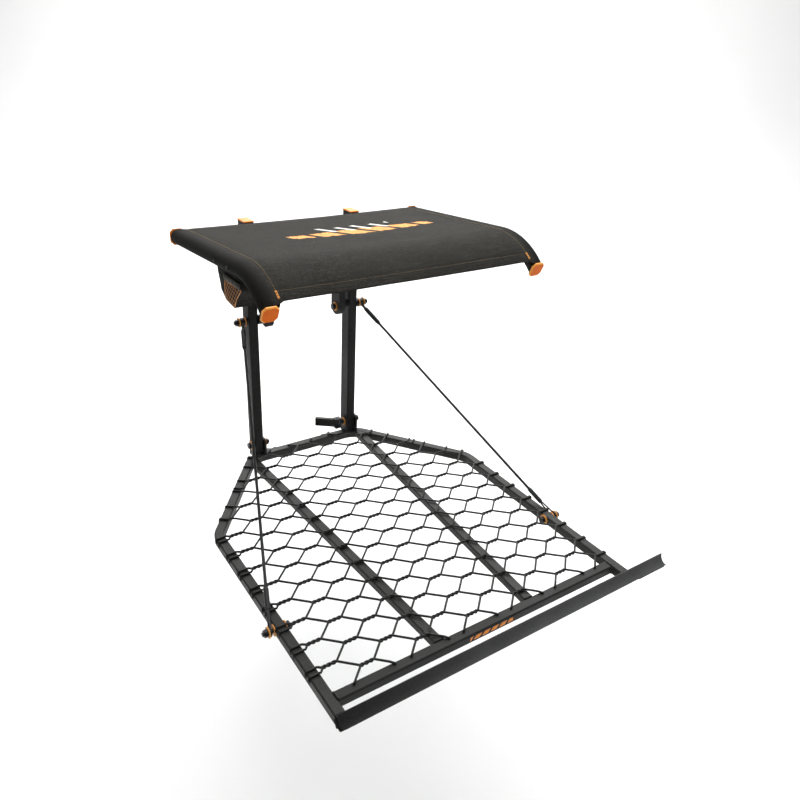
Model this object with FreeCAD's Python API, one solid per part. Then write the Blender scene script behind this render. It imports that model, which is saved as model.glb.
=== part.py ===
"""Hang-on tree stand: folding platform with wire mesh, two uprights, flip-up fabric seat, two cables.

Millimetres, +Z up, +X to the right when facing the trunk, -Y towards the platform's front.
The origin lies on the trunk's face (y = 0) at the height of the platform's top surface (z = 0).
"""
import FreeCAD
import Part
import math
import os

Vector = FreeCAD.Vector

# platform frame, square tube
tube = 20.0
tube_wall = 1.5
tube_corner = 3.5
platform_half_width = 330.0
side_x = platform_half_width - tube / 2
rear_y = -38.0
wide_corner_y = -283.3
rear_corner_x = 140.9
wide_bend_radius = 45.0
rear_bend_radius = 60.0
front_bar_y = -755.0
footrest_top_y = -787.0
footrest_drop = 18.0
footrest_reach = 15.0
footrest_left = -328.0
footrest_right = 427.0
footrest_thickness = 4.5
footrest_hollow = 2.2
rail_height = 16.0
rail_rear_x = 143.0
rail_rear_y = -80.0
rail_front_x = 102.6

# wire mesh: bricks of stretched hexagons
wire = 4.2
column_pitch = 54.9
row_pitch = 55.8
mesh_overlap = 7.0
column_origin = 205.4
row_origin = -279.9
twist_length = 27.0

# uprights
upright_x = 125.3
upright_width = 22.2
upright_depth = 35.0
upright_y = -30.0
upright_foot = 7.0
upright_top = 559.0
upright_wall = 2.0
cap_height = 2.5
cap_depth = 7.0

# bolts along X
bolt_radius = 4.0
hole_radius = 4.05
hinge_hole_radius = 4.08
washer_radius = 10.5
washer_thickness = 2.0
nut_flats = 13.0
pivot_y = -38.8
pivot_z = 28.8
cable_bolt_y = -40.0
cable_bolt_z = 343.0
side_bolt_y = -571.5
side_bolt_z = -10.6
lug_gap = 0.5
lug_thickness = 4.5

# suspension cables
cable_diameter = 6.0
cable_top_x = 148.0
cable_bottom_x = 338.0
upper_sleeve_end = 72.0
lower_sleeve_end = 80.0
sleeve_radius = 5.2

# seat
seat_tube_radius = 12.7
seat_tube_wall = 1.6
seat_x = 275.5
seat_rear_y = -54.0
seat_rear_z = 547.0
seat_bend_y = -368.0
seat_slope = 4.6
seat_bend_radius = 135.0
seat_bend_angle = 47.0
seat_tail = 10.0
seat_hinge_y = -42.0
seat_hinge_z = 545.0
seat_rear_bar_y = -83.0
seat_rear_bar_z = 543.0
seat_rear_bar_radius = 11.0
seat_front_bar_y = -360.0
seat_front_bar_radius = 8.0
fabric_thickness = 1.5
fabric_clearance = 0.3
fabric_rear_margin = 6.0
fabric_front_margin = 6.0

# end plugs of the seat tubes; the front ones face a little below level
plug_half_width = 14.8
plug_half_height = 15.4
plug_corner = 6.5
plug_thickness = 4.0
plug_chamfer = 1.8
front_plug_pitch = 24.0

pouch_outer_x = -258.0
pouch_inner_x = -222.0
pouch_wall = 2.0
pouch_outline = [
    (-204, 548), (-204, 520), (-218, 487), (-234, 476), (-281, 471), (-294, 491), (-318, 514), (-318, 548)]
pouch_hollow = [
    (-206, 557), (-206, 519), (-220, 488), (-235, 478),
    (-279, 473.5), (-292, 492.5), (-316, 515), (-316, 557)]
binding_outline = [(-243, 527), (-243, 516), (-318, 516), (-314, 527)]

# seat stop arms, upper cross tube, tree bracket
arm_inner_x = 82.0
arm_outer_x = 97.0
arm_half_depth = 19.5
arm_top = 531.7
arm_wall = 2.5
cross_tube_z = 480.0
cross_tube_y = -22.4
bracket_half_width = 105.0
bracket_thickness = 5.0
bracket_notch_y = -4.0
bracket_tip_y = 24.0
tooth_count = 10
tooth_depth = 5.0
cleat_z = -18.0
cleat_half_width = 88.0
post_radius = 5.0
post_length = 34.0
post_head_radius = 11.0

# lock lever at the right pivot
lever_x = 90.0
lever_length = 44.0
lever_height = 21.0
lever_swing_back = 33.0


def box(x0, x1, y0, y1, z0, z1):
    return Part.makeBox(x1 - x0, y1 - y0, z1 - z0, Vector(x0, y0, z0))


def rod(start, end, radius, end_radius=None):
    """Round bar, or a cone if an end radius is given."""
    along = end.sub(start)
    if end_radius is None:
        return Part.makeCylinder(radius, along.Length, start, along)
    return Part.makeCone(radius, end_radius, along.Length, start, along)


def rod_x(x0, x1, y, z, radius):
    return rod(Vector(x0, y, z), Vector(x1, y, z), radius)


def ring_x(x0, x1, y, z, outer, inner):
    return rod_x(x0, x1, y, z, outer).cut(rod_x(x0 - 1, x1 + 1, y, z, inner))


def hexagon_x(x0, x1, y, z, flats):
    """Hexagonal prism along X with its edges slightly chamfered."""
    radius = flats / math.sqrt(3)
    points = []
    for corner in range(7):
        angle = math.radians(60 * corner)
        points.append(Vector(x0, y + radius * math.cos(angle), z + radius * math.sin(angle)))
    prism = Part.Face(Part.makePolygon(points)).extrude(Vector(x1 - x0, 0, 0))
    middle = (x0 + x1) / 2
    half = (x1 - x0) / 2
    chamfer = 1.2
    rim = radius - chamfer / 1.6
    dome_low = rod(Vector(x0, y, z), Vector(x0 + half, y, z), rim, radius + half - chamfer)
    dome_high = rod(Vector(middle, y, z), Vector(x1, y, z), radius + half - chamfer, rim)
    return prism.common(dome_low.fuse(dome_high).removeSplitter())


def plate_x(x0, x1, outline):
    """Flat plate across X whose outline is a list of (y, z) points."""
    points = [Vector(x0, y, z) for y, z in outline]
    points.append(points[0])
    return Part.Face(Part.makePolygon(points)).extrude(Vector(x1 - x0, 0, 0))


def rounded_section(centre, across, up, width, height, radius):
    """Closed wire of a rounded rectangle around centre."""
    half_w = width / 2
    half_h = height / 2
    inset = radius * (1 - math.cos(math.radians(45)))

    def point(u, w):
        return centre + across * u + up * w

    edges = []
    quadrants = [(1, -1), (1, 1), (-1, 1), (-1, -1)]
    for index, (su, sw) in enumerate(quadrants):
        along_first = point(su * half_w, sw * (half_h - radius))
        along_second = point(su * (half_w - radius), sw * half_h)
        middle = point(su * (half_w - inset), sw * (half_h - inset))
        ends = (along_second, along_first) if index % 2 == 0 else (along_first, along_second)
        edges.append(Part.Arc(ends[0], middle, ends[1]).toShape())
        next_u, next_w = quadrants[(index + 1) % 4]
        if index % 2 == 0:
            following = point(next_u * half_w, next_w * (half_h - radius))
        else:
            following = point(next_u * (half_w - radius), next_w * half_h)
        edges.append(Part.LineSegment(ends[1], following).toShape())
    return Part.Wire(edges)


def straight_tube(start, end, across, up, width, height, wall, radius):
    """Hollow rectangular tube with rounded corners, open at both ends."""
    along = end.sub(start)
    outer = Part.Face(rounded_section(start, across, up, width, height, radius)).extrude(along)
    inner_section = rounded_section(
        start, across, up, width - 2 * wall, height - 2 * wall, max(radius - wall, 0.8))
    return outer.cut(Part.Face(inner_section).extrude(along))


def bent_path(points, radii):
    """Straight runs through the points, joined by tangent arcs at the inner ones."""
    edges = []
    run_start = points[0]
    for index, radius in enumerate(radii):
        corner = points[index + 1]
        back = points[index].sub(corner).normalize()
        forward = points[index + 2].sub(corner).normalize()
        half_turn = (math.pi - back.getAngle(forward)) / 2
        setback = radius * math.tan(half_turn)
        bisector = (back + forward).normalize()
        arc_start = corner + back * setback
        arc_end = corner + forward * setback
        arc_middle = corner + bisector * (radius / math.cos(half_turn) - radius)
        edges.append(Part.LineSegment(run_start, arc_start).toShape())
        edges.append(Part.Arc(arc_start, arc_middle, arc_end).toShape())
        run_start = arc_end
    edges.append(Part.LineSegment(run_start, points[-1]).toShape())
    return Part.Wire(edges)


def swept_tube(path, outer_wire, inner_wire):
    outer = path.makePipeShell([outer_wire], True, False)
    inner = path.makePipeShell([inner_wire], True, False)
    return outer.cut(inner)


def mirrored(shape):
    """The same shape on the other side of the middle plane."""
    return shape.mirror(Vector(0, 0, 0), Vector(1, 0, 0))


def both_sides(shape):
    return Part.makeCompound([mirrored(shape), shape])


def save(node, shape):
    shape.exportStep(os.path.join("parts", node + ".step"))


# platform ------------------------------------------------------------------

def footrest_slope_cutter(x0, x1):
    """Everything in front of the footrest bar's back face."""
    back_y = footrest_top_y + 0.2
    return plate_x(x0, x1, [
        (back_y, 30),
        (back_y, 0),
        (back_y - footrest_reach * (tube + 4) / footrest_drop, -tube - 4),
        (back_y - 60, -tube - 4),
        (back_y - 60, 30),
    ])


def side_tube():
    """Side run, wide bend, diagonal and rear bend, from the footrest to the rear crossbar."""
    middle_z = -tube / 2
    direction = Vector(rear_corner_x - side_x, rear_y - wide_corner_y, 0).normalize()
    turn = Vector(-1, 0, 0).getAngle(direction)
    weld_x = rear_corner_x - rear_bend_radius * math.tan(turn / 2)
    points = [
        Vector(side_x, footrest_top_y - 20, middle_z),
        Vector(side_x, wide_corner_y, middle_z),
        Vector(rear_corner_x, rear_y, middle_z),
        Vector(weld_x - 0.01, rear_y, middle_z),
    ]
    path = bent_path(points, [wide_bend_radius, rear_bend_radius])
    across = Vector(1, 0, 0)
    up = Vector(0, 0, 1)
    outer = rounded_section(points[0], across, up, tube, tube, tube_corner)
    bore = tube - 2 * tube_wall
    inner = rounded_section(points[0], across, up, bore, bore, tube_corner - tube_wall)
    shape = swept_tube(path, outer, inner)
    shape = shape.cut(footrest_slope_cutter(side_x - 15, side_x + 15))
    bolt_hole = rod_x(side_x - 15, side_x + 15, side_bolt_y, side_bolt_z, hole_radius)
    return shape.cut(bolt_hole), weld_x


def rear_crossbar(weld_x):
    start = Vector(-weld_x + 0.01, rear_y, -tube / 2)
    end = Vector(weld_x - 0.01, rear_y, -tube / 2)
    return straight_tube(start, end, Vector(0, 1, 0), Vector(0, 0, 1), tube, tube, tube_wall, tube_corner)


def front_crossbar():
    reach = side_x - tube / 2
    start = Vector(-reach, front_bar_y, -tube / 2)
    end = Vector(reach, front_bar_y, -tube / 2)
    return straight_tube(start, end, Vector(0, 1, 0), Vector(0, 0, 1), tube, tube, tube_wall, tube_corner)


def rail():
    """Inner rail from the rear bend to the front crossbar, slightly converging."""
    rear_centre = Vector(rail_rear_x, rail_rear_y, -rail_height / 2)
    front_centre = Vector(rail_front_x, front_bar_y, -rail_height / 2)
    along = front_centre.sub(rear_centre).normalize()
    across = Vector(0, 0, 1).cross(along)
    start = rear_centre - along * 34
    end = front_centre + along * 12
    shape = straight_tube(start, end, across, Vector(0, 0, 1), tube, rail_height, tube_wall, 2.5)
    front_zone = box(0, 200, front_bar_y - 60, front_bar_y + tube / 2, -40, 40)
    return shape.cut(front_zone).cut(rear_zone_of_side_tube())


def rear_zone_of_side_tube():
    """Filled form of the rear bend and crossbar, which the rail is cut against."""
    points = [
        Vector(side_x, footrest_top_y, -tube / 2),
        Vector(side_x, wide_corner_y, -tube / 2),
        Vector(rear_corner_x, rear_y, -tube / 2),
        Vector(0, rear_y, -tube / 2),
    ]
    path = bent_path(points, [wide_bend_radius, rear_bend_radius])
    outer = rounded_section(points[0], Vector(1, 0, 0), Vector(0, 0, 1), tube, tube + 2, 0.5)
    filled = path.makePipeShell([outer], True, False)
    beyond = box(0, 400, rear_y, 60, -40, 40)
    return filled.fuse(beyond)


def lug_starts():
    """Left faces of the two lugs that straddle an upright."""
    reach = upright_width / 2 + lug_gap
    return (upright_x - reach - lug_thickness, upright_x + reach)


def platform_lugs():
    """Upright plates on the rear crossbar that carry the fold pivots."""
    lugs = []
    for x0 in lug_starts():
        x1 = x0 + lug_thickness
        plate = box(x0, x1, pivot_y - 14, pivot_y + 14, 0, pivot_z)
        plate = plate.fuse(rod_x(x0, x1, pivot_y, pivot_z, 14))
        lugs.append(plate.cut(rod_x(x0 - 1, x1 + 1, pivot_y, pivot_z, hinge_hole_radius)))
    return lugs


def hexagon_hole(x, y):
    """Opening of one mesh cell: half a wire in from the cell's centre lines."""
    half = wire / 2
    reach = column_pitch - twist_length / 2
    corner = twist_length / 2
    slant = math.atan2(row_pitch / 2, reach - corner)
    tip = reach - half / math.sin(slant)
    top = row_pitch / 2 - half
    shoulder = corner - half * math.tan(slant / 2)
    outline = [(tip, 0), (shoulder, top), (-shoulder, top), (-tip, 0), (-shoulder, -top), (shoulder, -top)]
    points = [Vector(x + px, y + py, 0) for px, py in outline]
    points.append(points[0])
    return Part.makePolygon(points)


def wire_mesh():
    """Welded hexagonal mesh lying on the frame's top, its strands ending on the tubes."""
    edge = side_x + 1.0
    rear_edge = rear_y - 1.0
    region = [
        Vector(-edge, front_bar_y + tube / 2 - mesh_overlap, 0),
        Vector(edge, front_bar_y + tube / 2 - mesh_overlap, 0),
        Vector(edge, wide_corner_y, 0),
        Vector(rear_corner_x + 1, rear_edge, 0),
        Vector(-rear_corner_x - 1, rear_edge, 0),
        Vector(-edge, wide_corner_y, 0),
    ]
    region.append(region[0])
    prism = Part.Face(Part.makePolygon(region)).extrude(Vector(0, 0, wire))
    cells = []
    for column in range(-3, 12):
        x = column_origin - column_pitch * column
        for row in range(-6, 10):
            y = row_origin - row_pitch * (row + 0.5 + 0.5 * (column % 2))
            inside_x = abs(x) < 420
            inside_y = -860 < y < 60
            if inside_x and inside_y:
                cells.append(hexagon_hole(x, y))
    border = [Vector(-480, -920, 0), Vector(480, -920, 0), Vector(480, 120, 0), Vector(-480, 120, 0)]
    border.append(border[0])
    sheet = Part.makeFace([Part.makePolygon(border)] + cells, "Part::FaceMakerBullseye")
    mesh = sheet.extrude(Vector(0, 0, wire)).common(prism)
    for x in (-upright_x, upright_x):
        reach = upright_width / 2 + lug_gap + lug_thickness + 1
        mesh = mesh.cut(box(x - reach, x + reach, pivot_y - 15.5, 0, -1, wire + 1))
    return biggest_solid(mesh)


def biggest_solid(shape):
    return max(shape.Solids, key=lambda solid: solid.Volume)


def footrest_bar():
    """Long sloping strip across the platform's front, hollowed along its middle."""
    slope = math.atan2(footrest_drop, footrest_reach)
    width = math.hypot(footrest_drop, footrest_reach) + 1.5
    down = Vector(0, -math.cos(slope), -math.sin(slope))
    out = Vector(0, -math.sin(slope), math.cos(slope))
    top = Vector(footrest_left, footrest_top_y, 0) + out * footrest_thickness

    def point(along, away):
        return top + down * along + out * away

    front_face = Part.Arc(point(0, 0), point(width / 2, -footrest_hollow), point(width, 0)).toShape()
    foot = Part.LineSegment(point(width, 0), point(width, -footrest_thickness)).toShape()
    back_face = Part.LineSegment(point(width, -footrest_thickness), point(0, -footrest_thickness)).toShape()
    head = Part.LineSegment(point(0, -footrest_thickness), point(0, 0)).toShape()
    section = Part.Face(Part.Wire([front_face, foot, back_face, head]))
    length = footrest_right - footrest_left
    bar = section.extrude(Vector(length, 0, 0))
    scoop_radius = 26.0
    scoop_centre = point(width / 2, 0) + Vector(length + scoop_radius - 3.0, 0, 0)
    scoop = rod(scoop_centre - out * 20, scoop_centre + out * 20, scoop_radius)
    bar = bar.cut(scoop)
    corner = 9.0
    corner_centre = point(width - corner, 0) + Vector(corner, 0, 0)
    keep = rod(corner_centre - out * 20, corner_centre + out * 20, corner)
    block_edge = [
        point(width - corner, 20), point(width + 5, 20),
        point(width + 5, 20) + Vector(-5, 0, 0), point(width - corner, 20) + Vector(-5, 0, 0)]
    block_face = [
        block_edge[0] + Vector(corner, 0, 0), block_edge[1] + Vector(corner, 0, 0),
        block_edge[2], block_edge[3]]
    block_face.append(block_face[0])
    block = Part.Face(Part.makePolygon(block_face)).extrude(out * -40)
    return bar.cut(block.cut(keep))


def footrest_stiffener():
    """Short strip behind the overhanging end's lower edge."""
    slope = math.atan2(footrest_drop, footrest_reach)
    width = math.hypot(footrest_drop, footrest_reach) + 1.5
    down = Vector(0, -math.cos(slope), -math.sin(slope))
    out = Vector(0, -math.sin(slope), math.cos(slope))
    top = Vector(350, footrest_top_y, 0)
    corners = [
        top + down * (width - 14),
        top + down * (width + 2.5),
        top + down * (width + 2.5) - out * 3,
        top + down * (width - 14) - out * 3,
    ]
    corners.append(corners[0])
    return Part.Face(Part.makePolygon(corners)).extrude(Vector(footrest_right - 350 - 2, 0, 0))


def notched_plate(half_width, front_y, tip_y, notch_y, z0, thickness, teeth):
    """Horizontal plate whose rear edge is a toothed V for the trunk."""
    points = [Vector(half_width, front_y, z0)]
    for index in range(2 * teeth + 1):
        x = half_width * (1 - index / teeth)
        y = notch_y + (tip_y - notch_y) * abs(x) / half_width
        valley = tooth_depth if index % 2 else 0
        points.append(Vector(x, y - valley, z0))
    points.append(Vector(-half_width, front_y, z0))
    points.append(points[0])
    return Part.Face(Part.makePolygon(points)).extrude(Vector(0, 0, thickness))


def washer(x0, y, z):
    return ring_x(x0, x0 + washer_thickness, y, z, washer_radius, hole_radius)


def side_hardware():
    """Cable bolt through the platform's side tube: bolt, nut and three washers."""
    y = side_bolt_y
    z = side_bolt_z
    outer_face = side_x + tube / 2
    inner_face = side_x - tube / 2
    outer_washer = outer_face + 10
    shank = rod_x(inner_face - 4, outer_washer + 12, y, z, bolt_radius)
    head = hexagon_x(inner_face - washer_thickness - 7, inner_face - washer_thickness, y, z, nut_flats)
    nut = hexagon_x(outer_washer + washer_thickness, outer_washer + washer_thickness + 7, y, z, nut_flats)
    nut = nut.cut(rod_x(outer_face, outer_face + 30, y, z, hole_radius))
    washers = []
    for x0 in (inner_face - washer_thickness, outer_face, outer_washer):
        washers.append(washer(x0, y, z))
    return shank.fuse(head), nut, washers


# cables --------------------------------------------------------------------

def cable_ends():
    top = Vector(cable_top_x, cable_bolt_y, cable_bolt_z)
    bottom = Vector(cable_bottom_x, side_bolt_y, side_bolt_z)
    return top, bottom, bottom.sub(top).normalize()


def cable_wire():
    top, bottom, along = cable_ends()
    return rod(top + along * upper_sleeve_end, bottom - along * (lower_sleeve_end + 0.4), cable_diameter / 2)


def cable_eye():
    """Eye on the upper bolt with its tapered neck and long sleeve."""
    top, bottom, along = cable_ends()
    eye = rod_x(top.x - 3.3, top.x + 3.3, top.y, top.z, 9.5)
    neck = rod(top + along * 8, top + along * 17, 3.1)
    flare = rod(top + along * 17, top + along * 25, 3.1, sleeve_radius)
    sleeve = rod(top + along * 25, top + along * (upper_sleeve_end - 6), sleeve_radius)
    taper = rod(top + along * (upper_sleeve_end - 6), top + along * upper_sleeve_end, sleeve_radius, 3.6)
    shape = eye.fuse([neck, flare, sleeve, taper]).removeSplitter()
    return shape.cut(rod_x(top.x - 10, top.x + 10, top.y, top.z, hole_radius + 0.1))


def cable_loop():
    """Wire loop round the platform's bolt and the sleeve that closes it."""
    top, bottom, along = cable_ends()
    up = along * -1
    aside = up.cross(Vector(1, 0, 0)).normalize()
    loop_radius = 7.4
    strand = 1.7
    ring = Part.makeTorus(loop_radius, strand, bottom, Vector(1, 0, 0))
    pieces = [ring]
    for side in (-1, 1):
        start = bottom + aside * (side * loop_radius)
        end = bottom + up * 42 + aside * (side * 1.9)
        pieces.append(rod(start, end, strand))
    sleeve = rod(bottom + up * 40, bottom + up * (lower_sleeve_end - 5), 4.8)
    taper = rod(bottom + up * (lower_sleeve_end - 5), bottom + up * lower_sleeve_end, 4.8, 3.5)
    shape = pieces[0].fuse(pieces[1:] + [sleeve, taper])
    return shape.cut(rod_x(bottom.x - 10, bottom.x + 10, bottom.y, bottom.z, hole_radius + 0.1))


# uprights ------------------------------------------------------------------

def upright():
    start = Vector(upright_x, upright_y, upright_foot)
    end = Vector(upright_x, upright_y, upright_top)
    post = straight_tube(
        start, end, Vector(1, 0, 0), Vector(0, 1, 0), upright_width, upright_depth, upright_wall, 3.0)
    for y, z in ((pivot_y, pivot_z), (cable_bolt_y, cable_bolt_z), (seat_hinge_y, seat_hinge_z)):
        post = post.cut(rod_x(upright_x - 20, upright_x + 20, y, z, hole_radius))
    return post


def upright_cap():
    head = box(
        upright_x - upright_width / 2, upright_x + upright_width / 2,
        upright_y - upright_depth / 2, upright_y + upright_depth / 2, upright_top, upright_top + cap_height)
    inside_x = upright_width / 2 - upright_wall - 0.05
    inside_y = upright_depth / 2 - upright_wall - 0.05
    stem = box(
        upright_x - inside_x, upright_x + inside_x,
        upright_y - inside_y, upright_y + inside_y, upright_top - cap_depth, upright_top)
    head = head.makeFillet(1.0, [edge for edge in head.Edges if edge.BoundBox.ZMin > upright_top + 1])
    stem_edges = [edge for edge in stem.Edges if edge.BoundBox.ZLength > 3]
    return head.fuse(stem.makeFillet(1.2, stem_edges))


def upper_cross_tube():
    reach = upright_x - upright_width / 2
    start = Vector(-reach, cross_tube_y, cross_tube_z)
    end = Vector(reach, cross_tube_y, cross_tube_z)
    return straight_tube(start, end, Vector(0, 1, 0), Vector(0, 0, 1), tube, tube, tube_wall, tube_corner)


def strap_post():
    """Flanged stud on the upright's outer face that the ratchet strap hooks over."""
    x0 = upright_x + upright_width / 2
    end = x0 + post_length
    shank = rod_x(x0, end, upright_y, cross_tube_z, post_radius)
    base = rod_x(x0, x0 + 4, upright_y, cross_tube_z, post_head_radius)
    head = rod_x(end - 5, end, upright_y, cross_tube_z, post_head_radius)
    return shank.fuse([base, head]).removeSplitter()


def stop_arm():
    """Arm bolted to the upright that holds the lowered seat level with the tab at its top."""
    front = cable_bolt_y - arm_half_depth
    rear = cable_bolt_y + arm_half_depth
    narrow_rear = cross_tube_y - tube / 2
    lower = rod_x(arm_inner_x, arm_outer_x, cable_bolt_y, cable_bolt_z, arm_half_depth)
    upper = plate_x(arm_inner_x, arm_outer_x, [
        (front, cable_bolt_z),
        (rear, cable_bolt_z),
        (rear, 430),
        (narrow_rear, 455),
        (narrow_rear, arm_top),
        (seat_rear_bar_y - 9, arm_top),
        (seat_rear_bar_y - 9, arm_top - 10),
        (front, arm_top - 36),
    ])
    arm = lower.fuse(upper).removeSplitter()
    pocket = plate_x(arm_inner_x + arm_wall, arm_outer_x - arm_wall, [
        (front + 3, cable_bolt_z + 16),
        (rear - 3, cable_bolt_z + 16),
        (rear - 3, 429),
        (narrow_rear + 1, 452),
        (narrow_rear + 1, arm_top - 36),
        (front + 3, arm_top - 36),
    ])
    arm = arm.cut(pocket)
    return arm.cut(rod_x(arm_inner_x - 1, arm_outer_x + 1, cable_bolt_y, cable_bolt_z, hole_radius))


def cable_hardware():
    """Bolt through arm, upright and cable eye, with its nut, spacers and washers."""
    y = cable_bolt_y
    z = cable_bolt_z
    inner_face = upright_x - upright_width / 2
    outer_face = upright_x + upright_width / 2
    arm_washer = arm_inner_x - washer_thickness
    eye_washer = cable_top_x - 3.5 - washer_thickness
    outer_washer = cable_top_x + 7.4
    shank = rod_x(arm_washer - 1, outer_washer + 12, y, z, bolt_radius)
    head = hexagon_x(arm_washer - 7, arm_washer, y, z, nut_flats)
    nut = hexagon_x(outer_washer + washer_thickness, outer_washer + washer_thickness + 7, y, z, nut_flats)
    nut = nut.cut(rod_x(150, 180, y, z, hole_radius))
    washers = []
    for x0 in (arm_washer, eye_washer, outer_washer):
        washers.append(washer(x0, y, z))
    spacers = [
        ring_x(arm_outer_x, inner_face, y, z, 11, hole_radius),
        ring_x(outer_face, eye_washer, y, z, 9, hole_radius),
        ring_x(cable_top_x + 3.4, outer_washer, y, z, 6.3, hole_radius),
    ]
    return shank.fuse(head), nut, washers, spacers


def pivot_hardware():
    """Fold pivot bolt with its nut and washers."""
    y = pivot_y
    z = pivot_z
    inner_lug = upright_x - upright_width / 2 - lug_gap - lug_thickness
    outer_lug = upright_x + upright_width / 2 + lug_gap + lug_thickness
    shank = rod_x(inner_lug - 12, outer_lug + 4, y, z, bolt_radius)
    head = hexagon_x(outer_lug + washer_thickness + 0.1, outer_lug + washer_thickness + 6.6, y, z, nut_flats)
    nut = hexagon_x(inner_lug - washer_thickness - 7.2, inner_lug - washer_thickness - 0.2, y, z, nut_flats)
    nut = nut.cut(rod_x(inner_lug - 20, inner_lug, y, z, hole_radius))
    washers = []
    for x0 in (inner_lug - washer_thickness - 0.1, outer_lug + 0.1):
        washers.append(washer(x0, y, z))
    return shank.fuse(head), nut, washers


def seat_hinge_hardware():
    y = seat_hinge_y
    z = seat_hinge_z
    inner_lug = upright_x - upright_width / 2 - lug_gap - lug_thickness
    outer_lug = upright_x + upright_width / 2 + lug_gap + lug_thickness
    shank = rod_x(inner_lug - 8, outer_lug + 1, y, z, bolt_radius)
    head = rod_x(outer_lug + 0.2, outer_lug + 5.2, y, z, 7)
    nut = hexagon_x(inner_lug - 6.8, inner_lug - 0.3, y, z, nut_flats)
    nut = nut.cut(rod_x(inner_lug - 20, inner_lug, y, z, hole_radius))
    return shank.fuse(head), nut


def lever_clevis():
    """Fork on the right pivot bolt's inner end, with the lever's upright pin."""
    half = 7.0
    low = pivot_z - lever_height / 2 - 0.3
    high = pivot_z + lever_height / 2 + 0.3
    plate_low = box(lever_x - half, lever_x + 6.5, pivot_y - half, pivot_y + half, low - 2.5, low)
    plate_high = box(lever_x - half, lever_x + 6.5, pivot_y - half, pivot_y + half, high, high + 2.5)
    web = box(lever_x + 6.5, lever_x + 8.5, pivot_y - half, pivot_y + half, low - 2.5, high + 2.5)
    pin = rod(Vector(lever_x, pivot_y, low - 4), Vector(lever_x, pivot_y, high + 4), 2.5)
    fork = plate_low.fuse([plate_high, web, pin]).removeSplitter()
    return fork.cut(rod_x(lever_x + 5, lever_x + 12, pivot_y, pivot_z, hole_radius))


def lock_lever():
    """Flat lever that swings about the clevis pin."""
    low = pivot_z - lever_height / 2
    hub = rod(Vector(lever_x, pivot_y, low), Vector(lever_x, pivot_y, low + lever_height), 5.2)
    direction = Vector(-lever_length, lever_swing_back, 0).normalize()
    aside = Vector(-direction.y, direction.x, 0)
    start = Vector(lever_x, pivot_y, low)
    end = start + direction * math.hypot(lever_length, lever_swing_back)
    half = 4.2
    corners = [start + aside * half, end + aside * half, end - aside * half, start - aside * half]
    corners.append(corners[0])
    blade = Part.Face(Part.makePolygon(corners)).extrude(Vector(0, 0, lever_height))
    lever = hub.fuse(blade).removeSplitter()
    return lever.cut(rod(Vector(lever_x, pivot_y, low - 1), Vector(lever_x, pivot_y, low + 30), 2.58))


# seat ----------------------------------------------------------------------

def seat_frame_points():
    """Start, bend and end of the seat tube's centre line, as (y, z) vectors at x = 0."""
    rise = math.radians(seat_slope)
    rear = Vector(0, seat_rear_y, seat_rear_z)
    forward = Vector(0, -math.cos(rise), math.sin(rise))
    run = (seat_rear_y - seat_bend_y) / math.cos(rise)
    bend = rear + forward * run
    below = Vector(0, -math.sin(rise), -math.cos(rise))
    centre = bend + below * seat_bend_radius
    return rear, forward, run, centre, below


def seat_path_point(distance):
    """Point, forward direction and upward direction at a distance along the seat tube."""
    rear, forward, run, centre, below = seat_frame_points()
    bend_length = math.radians(seat_bend_angle) * seat_bend_radius
    if distance <= run:
        return rear + forward * distance, forward, below * -1
    turned = min((distance - run) / seat_bend_radius, math.radians(seat_bend_angle))
    heading = math.radians(seat_slope) - turned
    ahead = Vector(0, -math.cos(heading), math.sin(heading))
    up = Vector(0, math.sin(heading), math.cos(heading))
    point = centre + up * seat_bend_radius
    extra = max(distance - run - bend_length, 0)
    return point + ahead * extra, ahead, up


def seat_length():
    run = seat_frame_points()[2]
    return run + math.radians(seat_bend_angle) * seat_bend_radius + seat_tail


def sweep_seat(section, start, end):
    """Carry a section face along the seat's side line: straight, bend, straight."""
    rear, forward, run, centre, below = seat_frame_points()
    bend_length = math.radians(seat_bend_angle) * seat_bend_radius
    pieces = []
    placed = section.copy()
    placed.translate(forward * start)
    pieces.append(placed.extrude(forward * (run - start)))
    at_bend = section.copy()
    at_bend.translate(forward * run)
    bend_sweep = min(end - run, bend_length) / seat_bend_radius
    pieces.append(at_bend.revolve(centre, Vector(1, 0, 0), math.degrees(bend_sweep)))
    if end > run + bend_length:
        tail_section = at_bend.copy()
        tail_section.rotate(centre, Vector(1, 0, 0), seat_bend_angle)
        ahead = seat_path_point(end)[1]
        pieces.append(tail_section.extrude(ahead * (end - run - bend_length)))
    shape = pieces[0].fuse(pieces[1:])
    return shape.removeSplitter()


def seat_ring(x, outer, inner):
    rear, forward, run, centre, below = seat_frame_points()
    middle = rear + Vector(x, 0, 0)
    outer_wire = Part.Wire(Part.Circle(middle, forward, outer).toShape())
    inner_wire = Part.Wire(Part.Circle(middle, forward, inner).toShape())
    return Part.Face([outer_wire, inner_wire])


def front_plug_facing():
    pitch = math.radians(front_plug_pitch)
    return Vector(0, -math.cos(pitch), -math.sin(pitch))


def ahead_of_plug(offset):
    """Everything in front of a plane that lies offset beyond the side tube's slanted end."""
    facing = front_plug_facing()
    rise = facing.cross(Vector(1, 0, 0))
    middle = seat_path_point(seat_length())[0] + facing * offset
    corners = [middle - rise * 40, middle + rise * 40, middle + rise * 40 + facing * 40,
               middle - rise * 40 + facing * 40]
    return plate_x(seat_x - 40, seat_x + 40, [(corner.y, corner.z) for corner in corners])


def seat_tube():
    """Bent side tube whose front end is cut to the plug's face."""
    section = seat_ring(seat_x, seat_tube_radius, seat_tube_radius - seat_tube_wall)
    return biggest_solid(sweep_seat(section, 0, seat_length() + 8).cut(ahead_of_plug(0)))


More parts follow.
